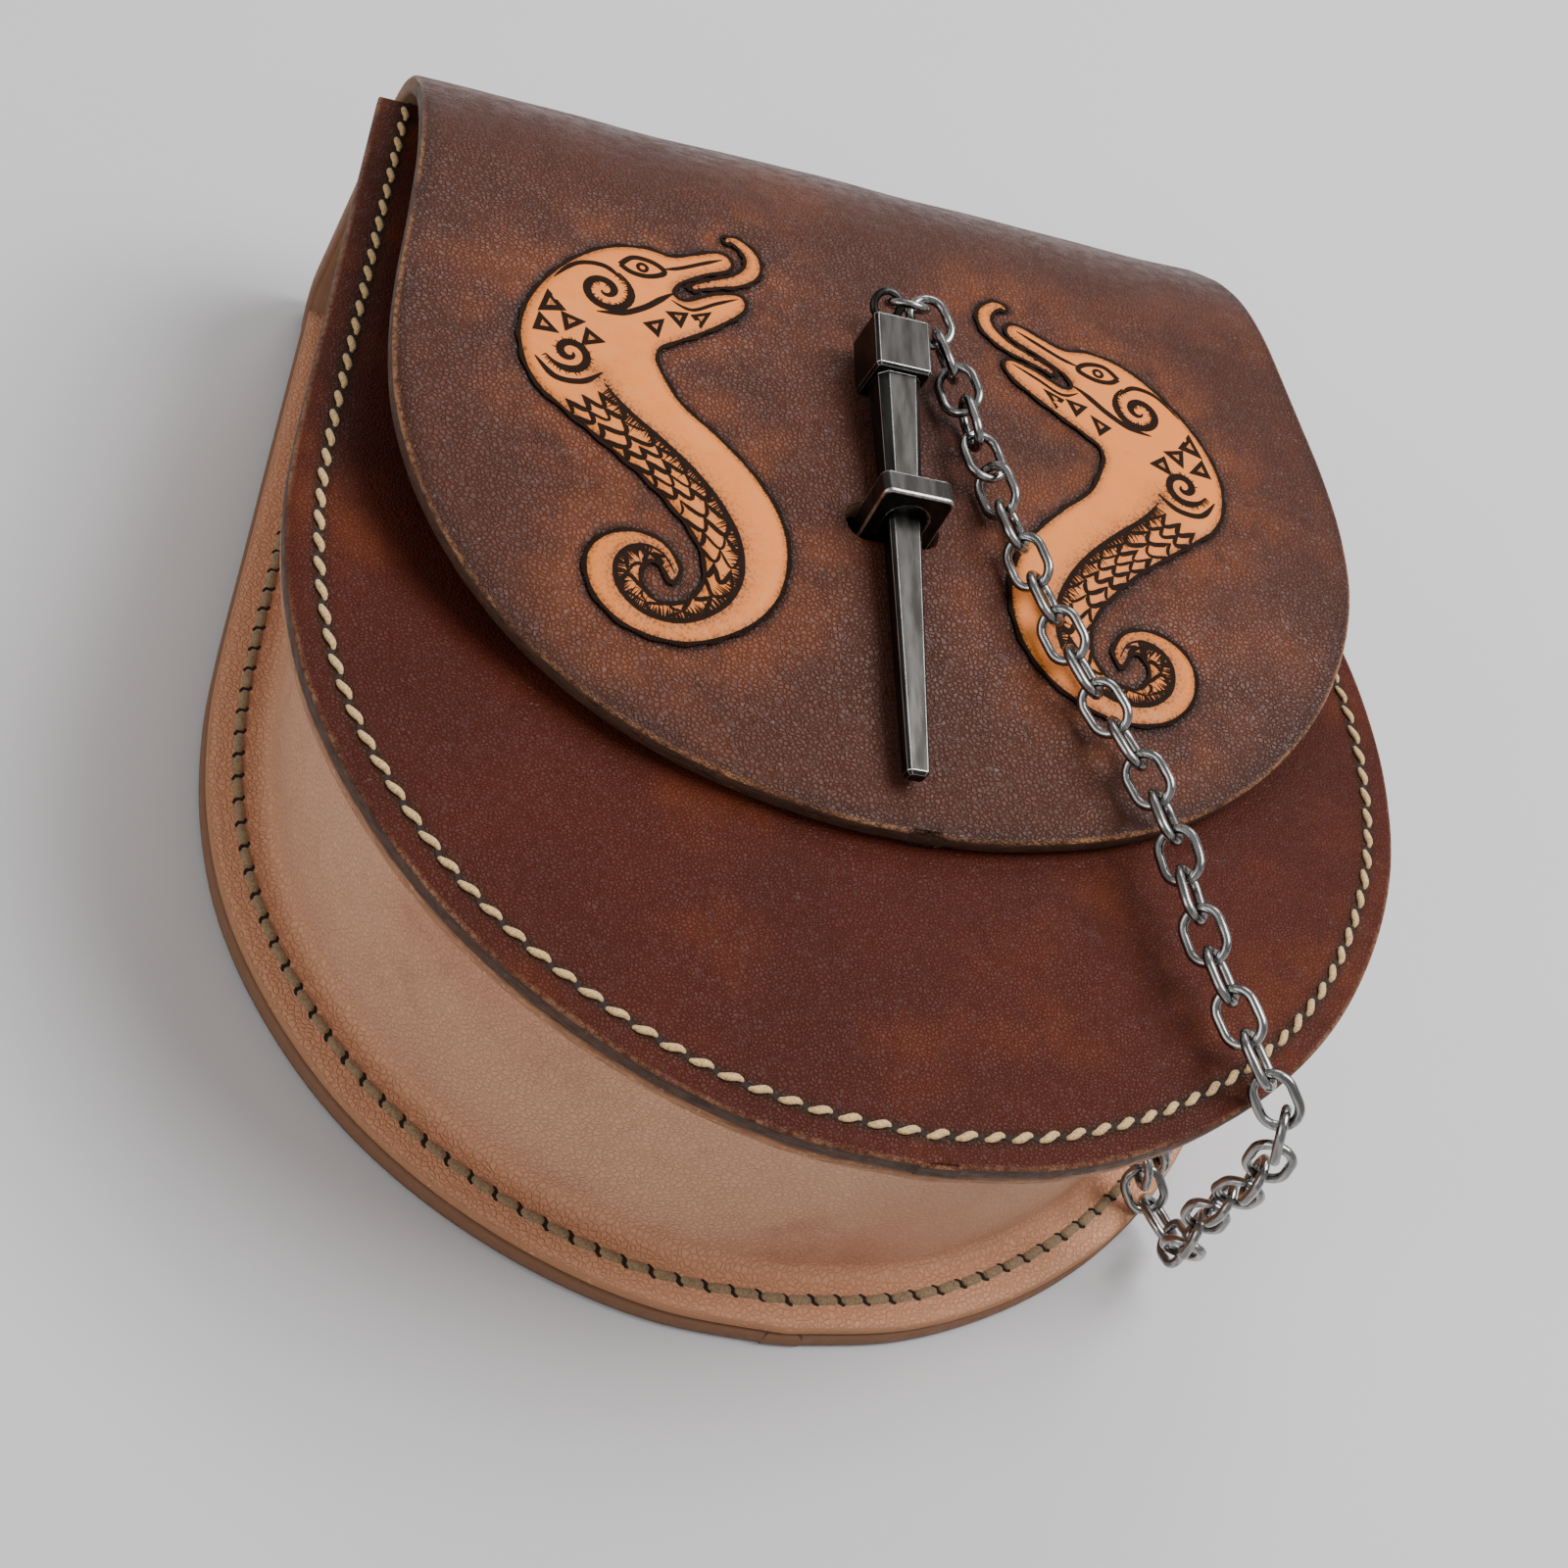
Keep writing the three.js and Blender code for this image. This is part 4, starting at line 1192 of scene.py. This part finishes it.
def torus(centre, radius, wire, axis):
    a = np.linspace(0, 2 * math.pi, 56, endpoint=False)
    path = np.column_stack([radius * np.cos(a), radius * np.sin(a), 0 * a])
    points, faces = tube_mesh(path, wire, 16, True)
    spin = Vector((0, 0, 1)).rotation_difference(Vector(axis)).to_matrix()
    return points @ np.array(spin).T + centre, faces


def pin():
    tilt = PIN["tilt"]
    points = []
    for along, w, h, c in PIN_SECTIONS:
        right = [(w - c, -h), (w, c - h), (w, h - c), (w - c, h)]
        for x, z in right + [(-x, z) for x, z in right[::-1]]:
            y = PIN["tip_y"] + along * math.cos(tilt) - z * math.sin(tilt)
            points.append((PIN["x"] + x, y, PIN["tip_z"] + along * math.sin(tilt) + z * math.cos(tilt)))
    obj = mesh_object("pin_steel", points, ring_faces(len(PIN_SECTIONS), 8), [DARK_STEEL, WORN_EDGE_HIGHLIGHT])
    face_outward(obj)
    bevelled(obj, PIN_BEVEL, 28)
    settle(obj, "dark_steel", "pin")

    parts = Parts()
    parts.add(*torus(**EYE))
    foot = np.array(EYE["centre"]) - EYE["radius"] * np.array(EDGE_ON)
    post = [foot + (0, y, 0) for y, _ in EYE_POST]
    parts.add(*tube_mesh(post, [radius for _, radius in EYE_POST], 18, False))
    return settle(parts.build("pin_eye", [DARK_STEEL]), "dark_steel")


def link_mesh():
    """One oval link about the origin, with its weld as a slight swelling on one side."""
    radius = LINK["width"] / 2
    straight = (LINK["length"] - LINK["width"]) / 2
    upper = arc_points(0, straight, radius, 0, 180, 18)
    lower = arc_points(0, -straight, radius, 180, 360, 18)
    path = resample(np.vstack([upper, lower, upper[:1]]), count=44)[:-1]
    path = np.column_stack([path, np.zeros(len(path))])
    weld = np.exp(-((path[:, 1] / LINK["weld_length"]) ** 2)) * (path[:, 0] > 0)
    wire = LINK["wire"] * (1 + LINK["weld_swell"] * weld)
    points, faces = tube_mesh(path, wire, 14, True)
    obj = mesh_object("link_shape", points, faces, [CHAIN_STEEL])
    mesh = obj.data
    bpy.data.objects.remove(obj)
    return mesh


def chain():
    """A smooth link over each faceted one, in the place read from that one's own vertices."""
    mesh = link_mesh()
    names = sorted(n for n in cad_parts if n.startswith("chain_link_"))
    for name in names:
        points = np.array([v.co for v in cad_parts[name].data.vertices], float)
        centred = points - points.mean(0)
        _, _, axes = np.linalg.svd(np.unique(np.round(centred, 6), axis=0), full_matrices=False)
        long_way, wide_way = Vector(axes[0]), Vector(axes[1])
        normal = wide_way.cross(long_way)
        turn = Matrix((wide_way, long_way, normal)).transposed()
        if turn.determinant() < 0:
            turn = Matrix((wide_way, long_way, -normal)).transposed()
        obj = new_object(name.replace("chain_link", "steel_link"), mesh)
        obj.matrix_world = Matrix.Translation(Vector(points.mean(0))) @ turn.to_4x4()
        settle(obj, "chain_steel", name)


def ring_and_anchor():
    parts = Parts()
    parts.add(*torus(**PIN_RING))
    ring = parts.build("pin_ring_wire", [CHAIN_STEEL])
    settle(ring, "chain_steel", "pin_ring")
    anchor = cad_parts["chain_anchor"]
    anchor.data.materials.clear()
    anchor.data.materials.append(DARK_STEEL)


# ---------------------------------------------------------------- the stage

# Lights and camera are placed in metres.

AIM = (0, 0, 0.03)
# Name, place, size and power.
LIGHTS = [
    ("key", (0.55, 0.05, 1.05), 0.8, 17),
    ("back_soft", (0.22, 0.88, 0.95), 0.6, 5),
    ("left_fill", (-1.15, -0.45, 0.5), 0.9, 5.5),
]
WORLD_COLOR = (0.78, 0.78, 0.79, 1)
WORLD_STRENGTH = 0.58
CAMERA_LENS = 59.46
CAMERA_PLACE = (-0.1437, -0.2471, 0.3281)
CAMERA_RIGHT = Vector((0.92497, -0.08234, 0.37101))
CAMERA_UP = Vector((-0.15118, 0.81595, 0.55801))


def floor():
    """A square floor 6 m wide, just under the pouch."""
    half, z = 3000, -0.05
    points = [(-half, -half, z), (half, -half, z), (half, half, z), (-half, half, z)]
    mesh_object("floor", points, [(0, 1, 2, 3)], [FLOOR], flat=True)


def lights():
    for name, place, size, power in LIGHTS:
        light = bpy.data.lights.new(name, "AREA")
        light.shape = "DISK"
        light.size = size
        light.energy = power
        obj = new_object(name, light)
        obj.location = place
        obj.rotation_euler = (Vector(AIM) - Vector(place)).to_track_quat("-Z", "Y").to_euler()
    world = bpy.data.worlds.new("studio")
    world.use_nodes = True
    background = world.node_tree.nodes["Background"]
    background.inputs["Color"].default_value = WORLD_COLOR
    background.inputs["Strength"].default_value = WORLD_STRENGTH
    bpy.context.scene.world = world


def camera():
    data = bpy.data.cameras.new("camera")
    data.sensor_width = 36
    data.lens = CAMERA_LENS
    obj = new_object("camera", data)
    turn = Matrix((CAMERA_RIGHT, CAMERA_UP, CAMERA_RIGHT.cross(CAMERA_UP))).transposed()
    obj.matrix_world = Matrix.Translation(CAMERA_PLACE) @ turn.to_4x4()
    bpy.context.scene.camera = obj


camera()
lights()
floor()
back_and_flap()
front_panel()
gusset()
front_seam()
back_seam()
serpent("tooled_serpent_left", False)
serpent("tooled_serpent_right", True)
keeper()
pin()
ring_and_anchor()
chain()
